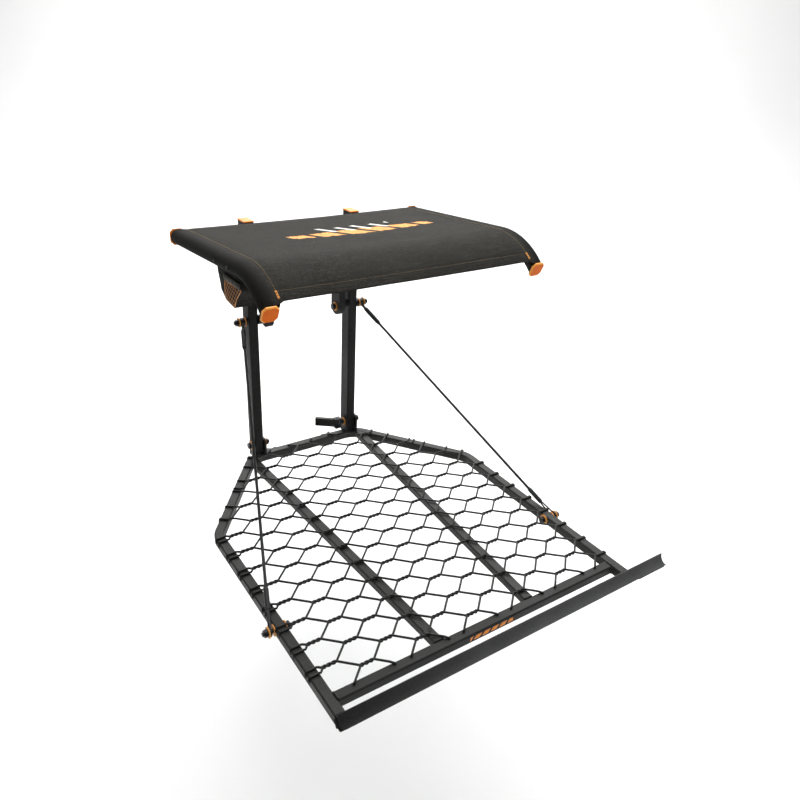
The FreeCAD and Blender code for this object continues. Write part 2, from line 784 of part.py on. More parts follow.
def seat_bar(y, z, radius):
    """Cross tube between the seat's side tubes, coped to them."""
    reach = seat_x - 4
    outer = rod_x(-reach, reach, y, z, radius)
    inner = rod_x(-reach - 1, reach + 1, y, z, radius - 1.5)
    bar = outer.cut(inner)
    for x in (-seat_x, seat_x):
        section = Part.Face(Part.Wire(Part.Circle(
            seat_frame_points()[0] + Vector(x, 0, 0), seat_frame_points()[1], seat_tube_radius).toShape()))
        bar = bar.cut(sweep_seat(section, 0, seat_length()))
    return biggest_solid(bar)


def seat_front_bar_z():
    return seat_rear_z + (seat_rear_y - seat_front_bar_y) * math.tan(math.radians(seat_slope)) - 4.0


def seat_lugs():
    """Four hinge plates from the rear cross tube back to the hinge bolts."""
    lugs = []
    y0 = seat_rear_bar_y
    z0 = seat_rear_bar_z
    y1 = seat_hinge_y
    z1 = seat_hinge_z
    end_radius = 9.0
    for x0 in lug_starts():
        x1 = x0 + lug_thickness
        web = plate_x(x0, x1, [
            (y0, z0 - end_radius), (y1, z1 - end_radius), (y1, z1 + end_radius), (y0, z0 + end_radius)])
        plate = web.fuse(rod_x(x0, x1, y1, z1, end_radius)).removeSplitter()
        plate = plate.cut(rod_x(x0 - 1, x1 + 1, y0, z0, seat_rear_bar_radius))
        plate = biggest_solid(plate)
        lugs.append(plate.cut(rod_x(x0 - 1, x1 + 1, y1, z1, hinge_hole_radius)))
    return lugs


def seat_plug(at_front):
    """Eight-sided end plug with a stem that presses into the seat tube."""
    point, ahead, up = seat_path_point(seat_length() if at_front else 0.0)
    inward = ahead * -1 if at_front else ahead
    facing = front_plug_facing() if at_front else ahead * -1
    base = point + Vector(seat_x, 0, 0)
    rise = facing.cross(Vector(1, 0, 0))
    wide = plug_half_width
    tall = plug_half_height
    cut = plug_corner
    outline = [
        (wide, tall - cut), (wide - cut, tall), (cut - wide, tall), (-wide, tall - cut),
        (-wide, cut - tall), (cut - wide, -tall), (wide - cut, -tall), (wide, cut - tall)]
    corners = [base + Vector(1, 0, 0) * u + rise * w for u, w in outline]
    corners.append(corners[0])
    head = Part.Face(Part.makePolygon(corners)).extrude(facing * plug_thickness)
    far_edges = []
    for edge in head.Edges:
        middle = edge.valueAt((edge.FirstParameter + edge.LastParameter) / 2)
        if middle.sub(base).dot(facing) > plug_thickness - 0.1:
            far_edges.append(edge)
    head = head.makeChamfer(plug_chamfer, far_edges)
    lead = 8 if at_front else -1
    stem = rod(base - inward * lead, base + inward * 16, seat_tube_radius - seat_tube_wall - 0.03)
    if at_front:
        stem = biggest_solid(stem.cut(ahead_of_plug(plug_thickness / 2)))
    return head.fuse(stem).removeSplitter()


def seat_fabric():
    """Sling: two sleeves round the side tubes and a panel across their tops."""
    rear, forward, run, centre, below = seat_frame_points()
    up = below * -1
    inner = seat_tube_radius + fabric_clearance
    outer = inner + fabric_thickness
    shoulder = math.sqrt(outer ** 2 - inner ** 2)

    def point(x, w):
        return rear + Vector(x, 0, 0) + up * w

    right = seat_x
    left = -seat_x
    edges = [
        Part.LineSegment(point(left, outer), point(right, outer)).toShape(),
        Part.Arc(point(right, outer), point(right, -outer), point(right - shoulder, inner)).toShape(),
        Part.LineSegment(point(right - shoulder, inner), point(left + shoulder, inner)).toShape(),
        Part.Arc(point(left + shoulder, inner), point(left, -outer), point(left, outer)).toShape(),
    ]
    bores = []
    for x in (left, right):
        bores.append(Part.Wire(Part.Circle(rear + Vector(x, 0, 0), forward, inner).toShape()))
    section = Part.Face([Part.Wire(edges)] + bores)
    fabric = sweep_seat(section, fabric_rear_margin, seat_length() - fabric_front_margin)
    notch = 0.6
    reach = seat_x - 4
    rear_bar = rod_x(-reach, reach, seat_rear_bar_y, seat_rear_bar_z, seat_rear_bar_radius + notch)
    front_bar = rod_x(-reach, reach, seat_front_bar_y, seat_front_bar_z(), seat_front_bar_radius + notch)
    return fabric.cut(rear_bar).cut(front_bar)


def sleeve_screws():
    """Screw heads that pin the left and right sleeves to the seat tubes."""
    screws = []
    for distance in (237.0, 296.0):
        point = seat_path_point(distance)[0]
        outer = seat_x + seat_tube_radius + fabric_clearance + fabric_thickness
        screws.append(rod_x(outer + 0.1, outer + 1.8, point.y, point.z - 2, 3.2))
    return screws


def pouch():
    """Net pocket that hangs inside the seat's left sleeve, open at the top."""
    body = plate_x(pouch_outer_x, pouch_inner_x, pouch_outline)
    return body.cut(plate_x(pouch_outer_x + pouch_wall, pouch_inner_x - pouch_wall, pouch_hollow))


def pouch_binding():
    """Flat tape across the pocket's outer wall."""
    return plate_x(pouch_outer_x - 2, pouch_outer_x - 0.2, binding_outline)


def main():
    os.makedirs("parts", exist_ok=True)

    side_right, weld_x = side_tube()
    save("side_tube_right", side_right)
    save("side_tube_left", mirrored(side_right))
    save("rear_crossbar", rear_crossbar(weld_x))
    save("front_crossbar", front_crossbar())
    rail_right = rail()
    save("rail_right", rail_right)
    save("rail_left", mirrored(rail_right))
    lugs = platform_lugs()
    save("platform_lugs", Part.makeCompound([mirrored(lug) for lug in lugs] + lugs))
    save("wire_mesh", wire_mesh())
    save("footrest_bar", footrest_bar())
    save("footrest_stiffener", footrest_stiffener())
    cleat_front = rear_y + tube / 2
    save("tree_cleat", notched_plate(cleat_half_width, cleat_front, 2.0, -14.0, cleat_z - 2, 4.0, 8))
    bolt, nut, washers = side_hardware()
    save("side_bolts", both_sides(bolt))
    save("side_nuts", both_sides(nut))
    save("side_washers", Part.makeCompound([both_sides(washer) for washer in washers]))

    for name, shape in (("cable", cable_wire()), ("cable_eye", cable_eye()), ("cable_loop", cable_loop())):
        save(name + "_right", shape)
        save(name + "_left", mirrored(shape))

    post = upright()
    save("upright_right", post)
    save("upright_left", mirrored(post))
    save("upright_caps", both_sides(upright_cap()))
    save("upper_cross_tube", upper_cross_tube())
    bracket = notched_plate(
        bracket_half_width, cross_tube_y + tube / 2, bracket_tip_y, bracket_notch_y,
        cross_tube_z - bracket_thickness / 2, bracket_thickness, tooth_count)
    save("tree_bracket", bracket)
    save("strap_posts", both_sides(strap_post()))
    arm = stop_arm()
    save("stop_arm_right", arm)
    save("stop_arm_left", mirrored(arm))
    bolt, nut, washers, spacers = cable_hardware()
    save("cable_bolts", both_sides(bolt))
    save("cable_nuts", both_sides(nut))
    save("cable_washers", Part.makeCompound([both_sides(washer) for washer in washers]))
    save("cable_spacers", Part.makeCompound([both_sides(spacer) for spacer in spacers]))
    bolt, nut, washers = pivot_hardware()
    save("pivot_bolt_right", bolt)
    save("pivot_bolt_left", mirrored(bolt))
    save("pivot_nuts", both_sides(nut))
    save("pivot_washers", Part.makeCompound([both_sides(washer) for washer in washers]))
    bolt, nut = seat_hinge_hardware()
    save("seat_hinge_bolts", both_sides(bolt))
    save("seat_hinge_nuts", both_sides(nut))
    save("lever_clevis", lever_clevis())
    save("lock_lever", lock_lever())

    frame_tube = seat_tube()
    save("seat_tube_right", frame_tube)
    save("seat_tube_left", mirrored(frame_tube))
    save("seat_rear_bar", seat_bar(seat_rear_bar_y, seat_rear_bar_z, seat_rear_bar_radius))
    save("seat_front_bar", seat_bar(seat_front_bar_y, seat_front_bar_z(), seat_front_bar_radius))
    lugs = seat_lugs()
    save("seat_lugs", Part.makeCompound([mirrored(lug) for lug in lugs] + lugs))
    save("seat_front_plugs", both_sides(seat_plug(True)))
    save("seat_rear_plugs", both_sides(seat_plug(False)))
    save("seat_fabric", seat_fabric())
    screws = sleeve_screws()
    save("sleeve_screws", Part.makeCompound([both_sides(screw) for screw in screws]))
    save("pouch", pouch())
    save("pouch_binding", pouch_binding())


main()
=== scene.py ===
"""Looks of the hang-on tree stand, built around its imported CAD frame. Metres, +Z up, -Y to the front."""

import math
import random

import bpy
from mathutils import Matrix, Vector, noise


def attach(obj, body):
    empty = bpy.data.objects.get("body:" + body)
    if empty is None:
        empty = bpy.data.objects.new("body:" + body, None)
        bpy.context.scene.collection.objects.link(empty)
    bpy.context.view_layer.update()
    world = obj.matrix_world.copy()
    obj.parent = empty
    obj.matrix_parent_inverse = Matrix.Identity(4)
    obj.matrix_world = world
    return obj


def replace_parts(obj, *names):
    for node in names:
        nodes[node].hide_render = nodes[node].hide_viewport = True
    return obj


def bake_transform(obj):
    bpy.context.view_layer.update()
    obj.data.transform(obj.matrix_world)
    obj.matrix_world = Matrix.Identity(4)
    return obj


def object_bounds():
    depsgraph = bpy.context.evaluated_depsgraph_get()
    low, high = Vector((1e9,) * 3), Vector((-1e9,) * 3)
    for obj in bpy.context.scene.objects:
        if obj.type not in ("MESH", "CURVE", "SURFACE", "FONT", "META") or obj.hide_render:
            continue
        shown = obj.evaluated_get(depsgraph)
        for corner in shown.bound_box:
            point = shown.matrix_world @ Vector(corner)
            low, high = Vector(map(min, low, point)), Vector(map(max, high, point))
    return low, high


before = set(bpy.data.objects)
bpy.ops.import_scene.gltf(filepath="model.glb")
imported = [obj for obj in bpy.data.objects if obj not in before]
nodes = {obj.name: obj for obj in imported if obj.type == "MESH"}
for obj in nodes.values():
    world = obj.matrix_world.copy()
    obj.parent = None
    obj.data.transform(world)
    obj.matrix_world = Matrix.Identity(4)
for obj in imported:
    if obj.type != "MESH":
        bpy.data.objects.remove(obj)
cad_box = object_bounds()

# ---------------------------------------------------------------- camera

CAMERA_PLACE = Vector((-0.6999, -1.4454, 0.9283))
CAMERA_AZIMUTH = math.radians(-34.9)
CAMERA_ELEVATION = math.radians(27.2)
CAMERA_ROLL = math.radians(3.1)
CAMERA_LENS = 32.55


def make_camera():
    back = Vector((
        math.sin(CAMERA_AZIMUTH) * math.cos(CAMERA_ELEVATION),
        -math.cos(CAMERA_AZIMUTH) * math.cos(CAMERA_ELEVATION),
        math.sin(CAMERA_ELEVATION)))
    level_right = Vector((math.cos(CAMERA_AZIMUTH), math.sin(CAMERA_AZIMUTH), 0))
    level_up = back.cross(level_right)
    right = level_right * math.cos(CAMERA_ROLL) + level_up * math.sin(CAMERA_ROLL)
    up = level_up * math.cos(CAMERA_ROLL) - level_right * math.sin(CAMERA_ROLL)
    data = bpy.data.cameras.new("camera")
    data.lens = CAMERA_LENS
    data.sensor_width = 36.0
    data.clip_end = 50.0
    camera = bpy.data.objects.new("camera", data)
    rotation = Matrix((right, up, back)).transposed().to_4x4()
    camera.matrix_world = Matrix.Translation(CAMERA_PLACE) @ rotation
    bpy.context.scene.collection.objects.link(camera)
    bpy.context.scene.camera = camera


make_camera()

# ---------------------------------------------------------------- helpers


def srgb(red, green, blue):
    """Linear colour from 0-255 display values."""
    def linear(value):
        value /= 255
        return value / 12.92 if value <= 0.04045 else ((value + 0.055) / 1.055) ** 2.4
    return (linear(red), linear(green), linear(blue), 1.0)


def new_piece(name, points, faces, material, body=None):
    mesh = bpy.data.meshes.new(name)
    mesh.from_pydata([tuple(point) for point in points], [], faces)
    mesh.validate()
    mesh.update()
    mesh.materials.append(material)
    for polygon in mesh.polygons:
        polygon.use_smooth = True
    piece = bpy.data.objects.new(name, mesh)
    bpy.context.scene.collection.objects.link(piece)
    if body:
        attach(piece, body)
    return piece


class Shape:
    """Points and faces gathered from many small parts of one piece."""

    def __init__(self):
        self.points = []
        self.faces = []

    def add(self, points, faces):
        first = len(self.points)
        self.points.extend(points)
        self.faces.extend([tuple(first + index for index in face) for face in faces])

    def tube(self, path, radius, sides, twist=0.0, lobes=0, lobe_depth=0.0, up=None):
        """Tube along a path, with closed ends. Lobes that turn by twist radians per metre look stranded."""
        rings = []
        reference = up or Vector((0, 0, 1))
        travelled = 0.0
        for index, point in enumerate(path):
            before = path[max(index - 1, 0)]
            after = path[min(index + 1, len(path) - 1)]
            ahead = (after - before).normalized()
            if index:
                travelled += (point - path[index - 1]).length
            across = reference.cross(ahead)
            if across.length < 0.05:
                across = Vector((1, 0, 0)).cross(ahead)
            across.normalize()
            above = ahead.cross(across)
            size = radius[index] if isinstance(radius, list) else radius
            ring = []
            for side in range(sides):
                angle = 2 * math.pi * side / sides
                reach = size * (1 + lobe_depth * math.cos(lobes * (angle + travelled * twist)))
                ring.append(point + across * (reach * math.cos(angle)) + above * (reach * math.sin(angle)))
            rings.append(ring)
        self.rings(rings)

    def rings(self, rings):
        sides = len(rings[0])
        points = [point for ring in rings for point in ring]
        faces = []
        for row in range(len(rings) - 1):
            for side in range(sides):
                other = (side + 1) % sides
                faces.append((row * sides + side, row * sides + other,
                              (row + 1) * sides + other, (row + 1) * sides + side))
        faces.append(tuple(reversed(range(sides))))
        faces.append(tuple(range((len(rings) - 1) * sides, len(rings) * sides)))
        self.add(points, faces)

    def piece(self, name, material, body=None, slot=None):
        return new_piece(name, self.points, self.faces, material, body)


def spline_points(route, steps):
    """Points along the smooth NURBS line of a route."""
    curve = bpy.data.curves.new("route", "CURVE")
    curve.dimensions = "3D"
    curve.resolution_u = steps
    spline = curve.splines.new("NURBS")
    spline.points.add(len(route) - 1)
    for control, place in zip(spline.points, route):
        control.co = (place.x, place.y, place.z, 1.0)
    spline.order_u = 3
    spline.use_endpoint_u = True
    holder = bpy.data.objects.new("route", curve)
    bpy.context.scene.collection.objects.link(holder)
    mesh = bpy.data.meshes.new_from_object(holder)
    points = [vertex.co.copy() for vertex in mesh.vertices]
    bpy.data.objects.remove(holder)
    bpy.data.meshes.remove(mesh)
    bpy.data.curves.remove(curve)
    return points


class Graph:
    """Short form for building a material's nodes."""

    def __init__(self, name):
        self.material = bpy.data.materials.new(name)
        self.material.use_nodes = True
        self.tree = self.material.node_tree
        self.tree.nodes.clear()
        self.output = self.tree.nodes.new("ShaderNodeOutputMaterial")
        self.shader = self.node("ShaderNodeBsdfPrincipled")
        self.tree.links.new(self.shader.outputs[0], self.output.inputs[0])
        self.place = self.node("ShaderNodeTexCoord").outputs["Object"]

    def node(self, kind, settings=None, **inputs):
        made = self.tree.nodes.new(kind)
        for key, value in (settings or {}).items():
            setattr(made, key, value)
        for key, value in inputs.items():
            self.set(made, key.replace("_", " "), value)
        return made

    def set(self, made, key, value):
        socket = made.inputs[int(key[1:])] if key[0] == "n" and key[1:].isdigit() else made.inputs[key]
        if isinstance(value, bpy.types.NodeSocket):
            self.tree.links.new(value, socket)
        else:
            socket.default_value = value

    def math(self, operation, first, second=0.0):
        made = self.node("ShaderNodeMath", {"operation": operation})
        for index, value in enumerate((first, second)):
            self.set(made, "n%d" % index, value)
        return made.outputs[0]

    def noise(self, scale, detail=3.0, roughness=0.55, stretch=None):
        place = self.place
        if stretch:
            place = self.node("ShaderNodeMapping", Vector=self.place, Scale=stretch).outputs[0]
        made = self.node("ShaderNodeTexNoise", Vector=place, Scale=scale, Detail=detail, Roughness=roughness)
        return made.outputs["Fac"]

    def ramp(self, factor, stops):
        made = self.node("ShaderNodeValToRGB", Fac=factor)
        elements = made.color_ramp.elements
        while len(elements) < len(stops):
            elements.new(0.5)
        for element, (position, colour) in zip(elements, stops):
            element.position = position
            element.color = colour
        return made.outputs[0]

    def grey(self, factor, low, high, dark=0.0, light=1.0):
        made = self.node("ShaderNodeMapRange", Value=factor)
        for key, value in (("From Min", low), ("From Max", high), ("To Min", dark), ("To Max", light)):
            made.inputs[key].default_value = value
        return made.outputs[0]

    def mix(self, factor, first, second):
        made = self.node("ShaderNodeMix", {"data_type": "RGBA"})
        self.set(made, "n0", factor)
        self.set(made, "n6", first)
        self.set(made, "n7", second)
        return made.outputs[2]

    def axis(self, name):
        return self.node("ShaderNodeSeparateXYZ", Vector=self.place).outputs[name]

    def bump(self, height, strength, distance, normal=None):
        made = self.node("ShaderNodeBump", Height=height, Strength=strength, Distance=distance)
        if normal:
            self.set(made, "Normal", normal)
        return made.outputs[0]

    def finish(self, colour, roughness, normal=None, **plain):
        self.set(self.shader, "Base Color", colour)
        self.set(self.shader, "Roughness", roughness)
        if normal:
            self.set(self.shader, "Normal", normal)
        for key, value in plain.items():
            self.set(self.shader, key.replace("_", " "), value)
        return self.material

# ---------------------------------------------------------------- materials


def powder_coat(name, dark, light, rough, scuff, painted_shade_to_left=None):
    """Matte sprayed coat with fine orange peel, dust and a few pale scuffs; the optional dark colour is
    painted shade that darkens the coat towards -X.
    """
    graph = Graph(name)
    cloud = graph.noise(9.0, 4.0)
    speckle = graph.noise(900.0, 2.0)
    grain = graph.noise(330.0, 3.0, 0.7)
    scuffs = graph.noise(26.0, 6.0, 0.7, stretch=(1.0, 0.35, 2.0))
    base = graph.ramp(cloud, [(0.3, dark), (0.72, light)])
    if painted_shade_to_left:
        # painted shade: the coat darkens towards its -X end
        base = graph.mix(graph.grey(graph.axis("X"), -0.34, 0.06, 1.0, 0.0), base, painted_shade_to_left)
    base = graph.mix(graph.grey(grain, 0.52, 0.74, 0.0, 0.5), base, srgb(58, 58, 53))
    base = graph.mix(graph.grey(grain, 0.46, 0.28, 0.0, 0.6), base, srgb(10, 10, 9))
    fleck = graph.grey(speckle, 0.62, 0.8, 0.0, 0.35)
    base = graph.mix(fleck, base, srgb(62, 61, 57))
    worn = graph.grey(scuffs, 0.68, 0.78, 0.0, scuff)
    base = graph.mix(worn, base, srgb(82, 80, 75))
    roughness = graph.grey(cloud, 0.3, 0.7, rough - 0.07, rough + 0.09)
    peel = graph.bump(speckle, 0.35, 0.0003)
    sweep = graph.bump(grain, 0.3, 0.0006, peel)
    return graph.finish(base, roughness, sweep, Specular_IOR_Level=0.30)


def front_bar_coat():
    """Powder coat with a generic row of slanted orange bars on the front face."""
    graph = Graph("crossbar_coat")
    cloud = graph.noise(9.0, 4.0)
    speckle = graph.noise(900.0, 2.0)
    base = graph.ramp(cloud, [(0.3, srgb(15, 16, 14)), (0.72, srgb(26, 26, 23))])
    across = graph.axis("X")
    height = graph.axis("Z")
    facing = graph.axis("Y")
    slant = graph.math("ADD", across, graph.math("MULTIPLY", height, -0.6))
    stripe = graph.math("GREATER_THAN", graph.math("FRACT", graph.math("MULTIPLY", slant, 52.0)), 0.32)
    inside = graph.math("LESS_THAN", graph.math("ABSOLUTE", across), 0.049)
    level = graph.math("LESS_THAN", graph.math("ABSOLUTE", graph.math("ADD", height, 0.0098)), 0.0043)
    front = graph.math("LESS_THAN", facing, -0.7645)
    mark = graph.math("MULTIPLY", graph.math("MULTIPLY", stripe, inside),
                      graph.math("MULTIPLY", level, front))
    wear = graph.grey(graph.noise(380.0, 4.0), 0.3, 0.5, 0.82, 1.0)
    colour = graph.mix(graph.math("MULTIPLY", mark, wear), base, srgb(252, 150, 48))
    return graph.finish(colour, graph.grey(cloud, 0.3, 0.7, 0.50, 0.64), graph.bump(speckle, 0.35, 0.0003),
                        Specular_IOR_Level=0.30)


PLUG_FACING = (0.0, -math.cos(math.radians(24.0)), -math.sin(math.radians(24.0)))


def moulded(name, dark, light, rough, painted_highlight_rim=None):
    """Moulded plastic; the optional lighter colour is a painted highlight, laid on every face that turns away
    from the front plugs' own facing.
    """
    graph = Graph(name)
    cloud = graph.noise(35.0, 3.0)
    fine = graph.noise(700.0, 3.0)
    colour = graph.ramp(cloud, [(0.3, dark), (0.7, light)])
    colour = graph.mix(graph.grey(fine, 0.6, 0.8, 0.0, 0.25), colour, dark)
    if painted_highlight_rim:
        # painted highlight: a lighter colour on every face turned away from the front plug facing
        normal = graph.node("ShaderNodeNewGeometry").outputs["True Normal"]
        turned = graph.node("ShaderNodeVectorTransform", {"vector_type": "NORMAL", "convert_from": "WORLD",
                                                          "convert_to": "OBJECT"}, Vector=normal).outputs[0]
        facing = graph.node("ShaderNodeVectorMath", {"operation": "DOT_PRODUCT"}, n0=turned,
                            n1=PLUG_FACING).outputs["Value"]
        colour = graph.mix(graph.math("LESS_THAN", facing, 0.97), colour, painted_highlight_rim)
    normal = graph.bump(fine, 0.3, 0.0002)
    return graph.finish(colour, graph.grey(fine, 0.3, 0.7, rough - 0.06, rough + 0.1), normal,
                        Specular_IOR_Level=0.2)


def plated(name):
    """Black zinc on bolts and nuts, rubbed brighter in places."""
    graph = Graph(name)
    cloud = graph.noise(60.0, 4.0)
    rub = graph.noise(240.0, 5.0, 0.7)
    colour = graph.ramp(cloud, [(0.3, srgb(30, 30, 33)), (0.75, srgb(62, 62, 66))])
    colour = graph.mix(graph.grey(rub, 0.62, 0.75, 0.0, 0.5), colour, srgb(132, 130, 126))
    normal = graph.bump(rub, 0.25, 0.0002)
    return graph.finish(colour, graph.grey(cloud, 0.3, 0.7, 0.3, 0.5), normal, Metallic=0.75)


def cable_coat():
    """Black vinyl over a laid wire rope."""
    graph = Graph("cable_coat")
    fine = graph.noise(500.0, 3.0)
    cloud = graph.noise(30.0, 3.0)
    colour = graph.ramp(cloud, [(0.3, srgb(16, 16, 16)), (0.75, srgb(32, 32, 31))])
    colour = graph.mix(graph.grey(fine, 0.6, 0.78, 0.0, 0.4), colour, srgb(88, 88, 86))
    return graph.finish(colour, graph.grey(fine, 0.3, 0.7, 0.36, 0.52), graph.bump(fine, 0.25, 0.0002))


WEAVE_PITCH = 0.0011


def woven(name, dark, light, thread_dark, print_and_sleeve_shade=False):
    """Plain-woven pack cloth: over-and-under threads, heather fibres, soft sheen."""
    graph = Graph(name)
    across = graph.math("MULTIPLY", graph.axis("X"), math.pi / WEAVE_PITCH)
    along_metres = graph.math("SUBTRACT", graph.axis("Y"), graph.axis("Z"))
    along = graph.math("MULTIPLY", along_metres, math.pi / WEAVE_PITCH)
    warp = graph.math("SINE", across)
    weft = graph.math("SINE", along)
    crossing = graph.math("MULTIPLY", warp, weft)
    lift = graph.math("ABSOLUTE", crossing)
    cloud = graph.noise(14.0, 5.0, 0.6)
    fibre = graph.noise(1300.0, 3.0, 0.6)
    slub = graph.noise(240.0, 2.0, 0.5, stretch=(0.12, 1.0, 1.0))
    slub_across = graph.noise(240.0, 2.0, 0.5, stretch=(1.0, 0.12, 0.12))
    colour = graph.ramp(cloud, [(0.28, dark), (0.74, light)])
    colour = graph.mix(graph.grey(lift, 0.0, 0.5, 0.55, 0.0), colour, thread_dark)
    colour = graph.mix(graph.grey(fibre, 0.5, 0.75, 0.0, 0.35), colour, srgb(70, 68, 62))
    grain = graph.noise(430.0, 3.0, 0.75)
    colour = graph.mix(graph.grey(grain, 0.52, 0.68, 0.0, 0.6), colour, srgb(72, 70, 64))
    colour = graph.mix(graph.grey(grain, 0.46, 0.3, 0.0, 0.6), colour, thread_dark)
    colour = graph.mix(graph.grey(slub, 0.55, 0.75, 0.0, 0.22), colour, srgb(72, 70, 64))
    colour = graph.mix(graph.grey(slub_across, 0.55, 0.75, 0.0, 0.22), colour, srgb(48, 47, 44))
    if print_and_sleeve_shade:
        # painted shade: the cloth darkens to near black on the sleeves, beyond |x| 0.262; the print below is
        # real
        side = graph.math("ABSOLUTE", graph.axis("X"))
        colour = graph.mix(graph.grey(side, 0.262, 0.274, 0.0, 0.82), colour, srgb(10, 9, 8))
        colour = printed_mark(graph, colour)
    height = graph.math("ADD", lift, graph.math("MULTIPLY", fibre, 0.6))
    weave = graph.bump(height, 0.55, 0.0005)
    normal = graph.bump(cloud, 0.25, 0.004, weave)
    return graph.finish(
        colour, graph.grey(fibre, 0.3, 0.7, 0.78, 0.95), normal,
        Sheen_Weight=0.02, Sheen_Roughness=0.5, Sheen_Tint=srgb(150, 148, 140), Specular_IOR_Level=0.12)


def printed_mark(graph, colour):
    """Generic ink print: slanted orange blocks with thin pale strokes above them."""
    across = graph.math("SUBTRACT", graph.axis("X"), 0.035)
    depth = graph.math("ADD", graph.axis("Y"), 0.235)
    leaning = graph.math("ADD", across, graph.math("MULTIPLY", depth, 0.5))
    ragged = graph.math("MULTIPLY", graph.math("SUBTRACT", graph.noise(70.0, 5.0, 0.7), 0.5), 0.03)
    inside = graph.math("LESS_THAN", graph.math("ABSOLUTE", graph.math("ADD", leaning, ragged)), 0.155)
    taper = graph.math("SUBTRACT", 0.024, graph.math("MULTIPLY", graph.math("ABSOLUTE", across), 0.07))
    level = graph.math("LESS_THAN", graph.math("ABSOLUTE", graph.math("ADD", depth, ragged)), taper)
    gaps = graph.math("GREATER_THAN", graph.math("FRACT", graph.math("MULTIPLY", leaning, 17.0)), 0.24)
    blocks = graph.math("MULTIPLY", graph.math("MULTIPLY", inside, level), gaps)
    outward = graph.node("ShaderNodeTexCoord").outputs["Normal"]
    on_top = graph.math("GREATER_THAN", graph.node("ShaderNodeSeparateXYZ", Vector=outward).outputs["Z"], 0.0)
    crackle = graph.grey(graph.noise(260.0, 6.0, 0.75), 0.36, 0.46, 0.0, 0.92)
    crackle = graph.math("MULTIPLY", crackle, on_top)
    colour = graph.mix(graph.math("MULTIPLY", blocks, crackle), colour, srgb(238, 170, 102))
    rise = graph.math("SUBTRACT", depth, 0.036)
    strokes = graph.math("GREATER_THAN", graph.math("FRACT", graph.math("MULTIPLY", leaning, 26.0)), 0.72)
    short = graph.math("LESS_THAN", graph.math("ABSOLUTE", graph.math("ADD", rise, ragged)), 0.021)
    narrow = graph.math("LESS_THAN", graph.math("ABSOLUTE", across), 0.085)
    pale = graph.math("MULTIPLY", graph.math("MULTIPLY", strokes, short), narrow)
    return graph.mix(graph.math("MULTIPLY", pale, crackle), colour, srgb(236, 234, 228))


def thread(name, dark, light):
    graph = Graph(name)
    ply = graph.noise(1800.0, 2.0)
    colour = graph.ramp(ply, [(0.3, dark), (0.7, light)])
    return graph.finish(colour, graph.grey(ply, 0.3, 0.7, 0.6, 0.85), graph.bump(ply, 0.4, 0.0002))


def floor_paint():
    graph = Graph("floor_paint")
    cloud = graph.noise(0.8, 3.0)
    colour = graph.ramp(cloud, [(0.3, (0.80, 0.80, 0.79, 1)), (0.7, (0.84, 0.84, 0.83, 1))])
    return graph.finish(colour, 0.9, Specular_IOR_Level=0.1)


coat = powder_coat("powder_coat", srgb(18, 18, 16), srgb(30, 30, 27), 0.50, 0.18)
# painted shade: a darker copy of the powder coat for the uprights, stop arms, upper cross tube and sleeve
# screws
painted_shade_upright_coat = powder_coat("painted_shade_upright_coat", srgb(6, 6, 5), srgb(12, 12, 10), 0.58, 0.10)
# painted shade: the footrest bar darkens towards its left end
bar_coat = powder_coat("bar_coat", srgb(66, 66, 66), srgb(80, 80, 80), 0.50, 0.16, painted_shade_to_left=srgb(9, 9, 9))
wire_coat = powder_coat("wire_coat", srgb(12, 12, 11), srgb(22, 22, 20), 0.46, 0.08)
crossbar_coat = front_bar_coat()
plug_plastic = moulded("plug_plastic", srgb(222, 122, 30), srgb(238, 140, 44), 0.44)
front_plug_plastic = moulded("front_plug_plastic", srgb(222, 98, 0), srgb(238, 112, 4), 0.52,
                             # front plugs with a painted highlight on their side faces
                             painted_highlight_rim=srgb(252, 168, 78))
washer_nylon = moulded("washer_nylon", srgb(206, 132, 56), srgb(238, 172, 92), 0.36)
black_zinc = plated("black_zinc")
vinyl = cable_coat()
# seat cloth with its print and painted shade on the sleeves
seat_cloth = woven("seat_cloth", srgb(28, 27, 24), srgb(40, 38, 34), srgb(12, 11, 9), print_and_sleeve_shade=True)
gusset_cloth = woven("gusset_cloth", srgb(24, 23, 22), srgb(36, 34, 32), srgb(14, 13, 12))
tape_cloth = woven("tape_cloth", srgb(84, 84, 78), srgb(108, 107, 100), srgb(52, 52, 48))
net_cord = thread("net_cord", srgb(186, 124, 74), srgb(228, 170, 120))
orange_thread = thread("orange_thread", srgb(206, 128, 48), srgb(240, 172, 92))
tan_thread = thread("tan_thread", srgb(118, 96, 62), srgb(164, 138, 98))
grey_thread = thread("grey_thread", srgb(92, 90, 80), srgb(128, 126, 112))

NODE_MATERIALS = {
    "upright_caps": plug_plastic, "seat_front_plugs": front_plug_plastic, "seat_rear_plugs": plug_plastic,
    "cable_washers": washer_nylon, "pivot_washers": washer_nylon, "side_washers": washer_nylon,
    "front_crossbar": crossbar_coat, "footrest_bar": bar_coat, "footrest_stiffener": coat,
    "sleeve_screws": painted_shade_upright_coat, "lever_clevis": black_zinc,
    "upright_left": painted_shade_upright_coat, "upright_right": painted_shade_upright_coat, "upper_cross_tube": painted_shade_upright_coat,
    "stop_arm_left": painted_shade_upright_coat, "stop_arm_right": painted_shade_upright_coat,
}
for name, node in nodes.items():
    material = NODE_MATERIALS.get(name)
    if material is None and ("bolt" in name or "nuts" in name or "spacers" in name):
        material = black_zinc
    if material is None and name.startswith("cable_"):
        material = vinyl
    material = material or coat
    if node.type == "MESH":
        node.data.materials.clear()
        node.data.materials.append(material)

# ---------------------------------------------------------------- cables

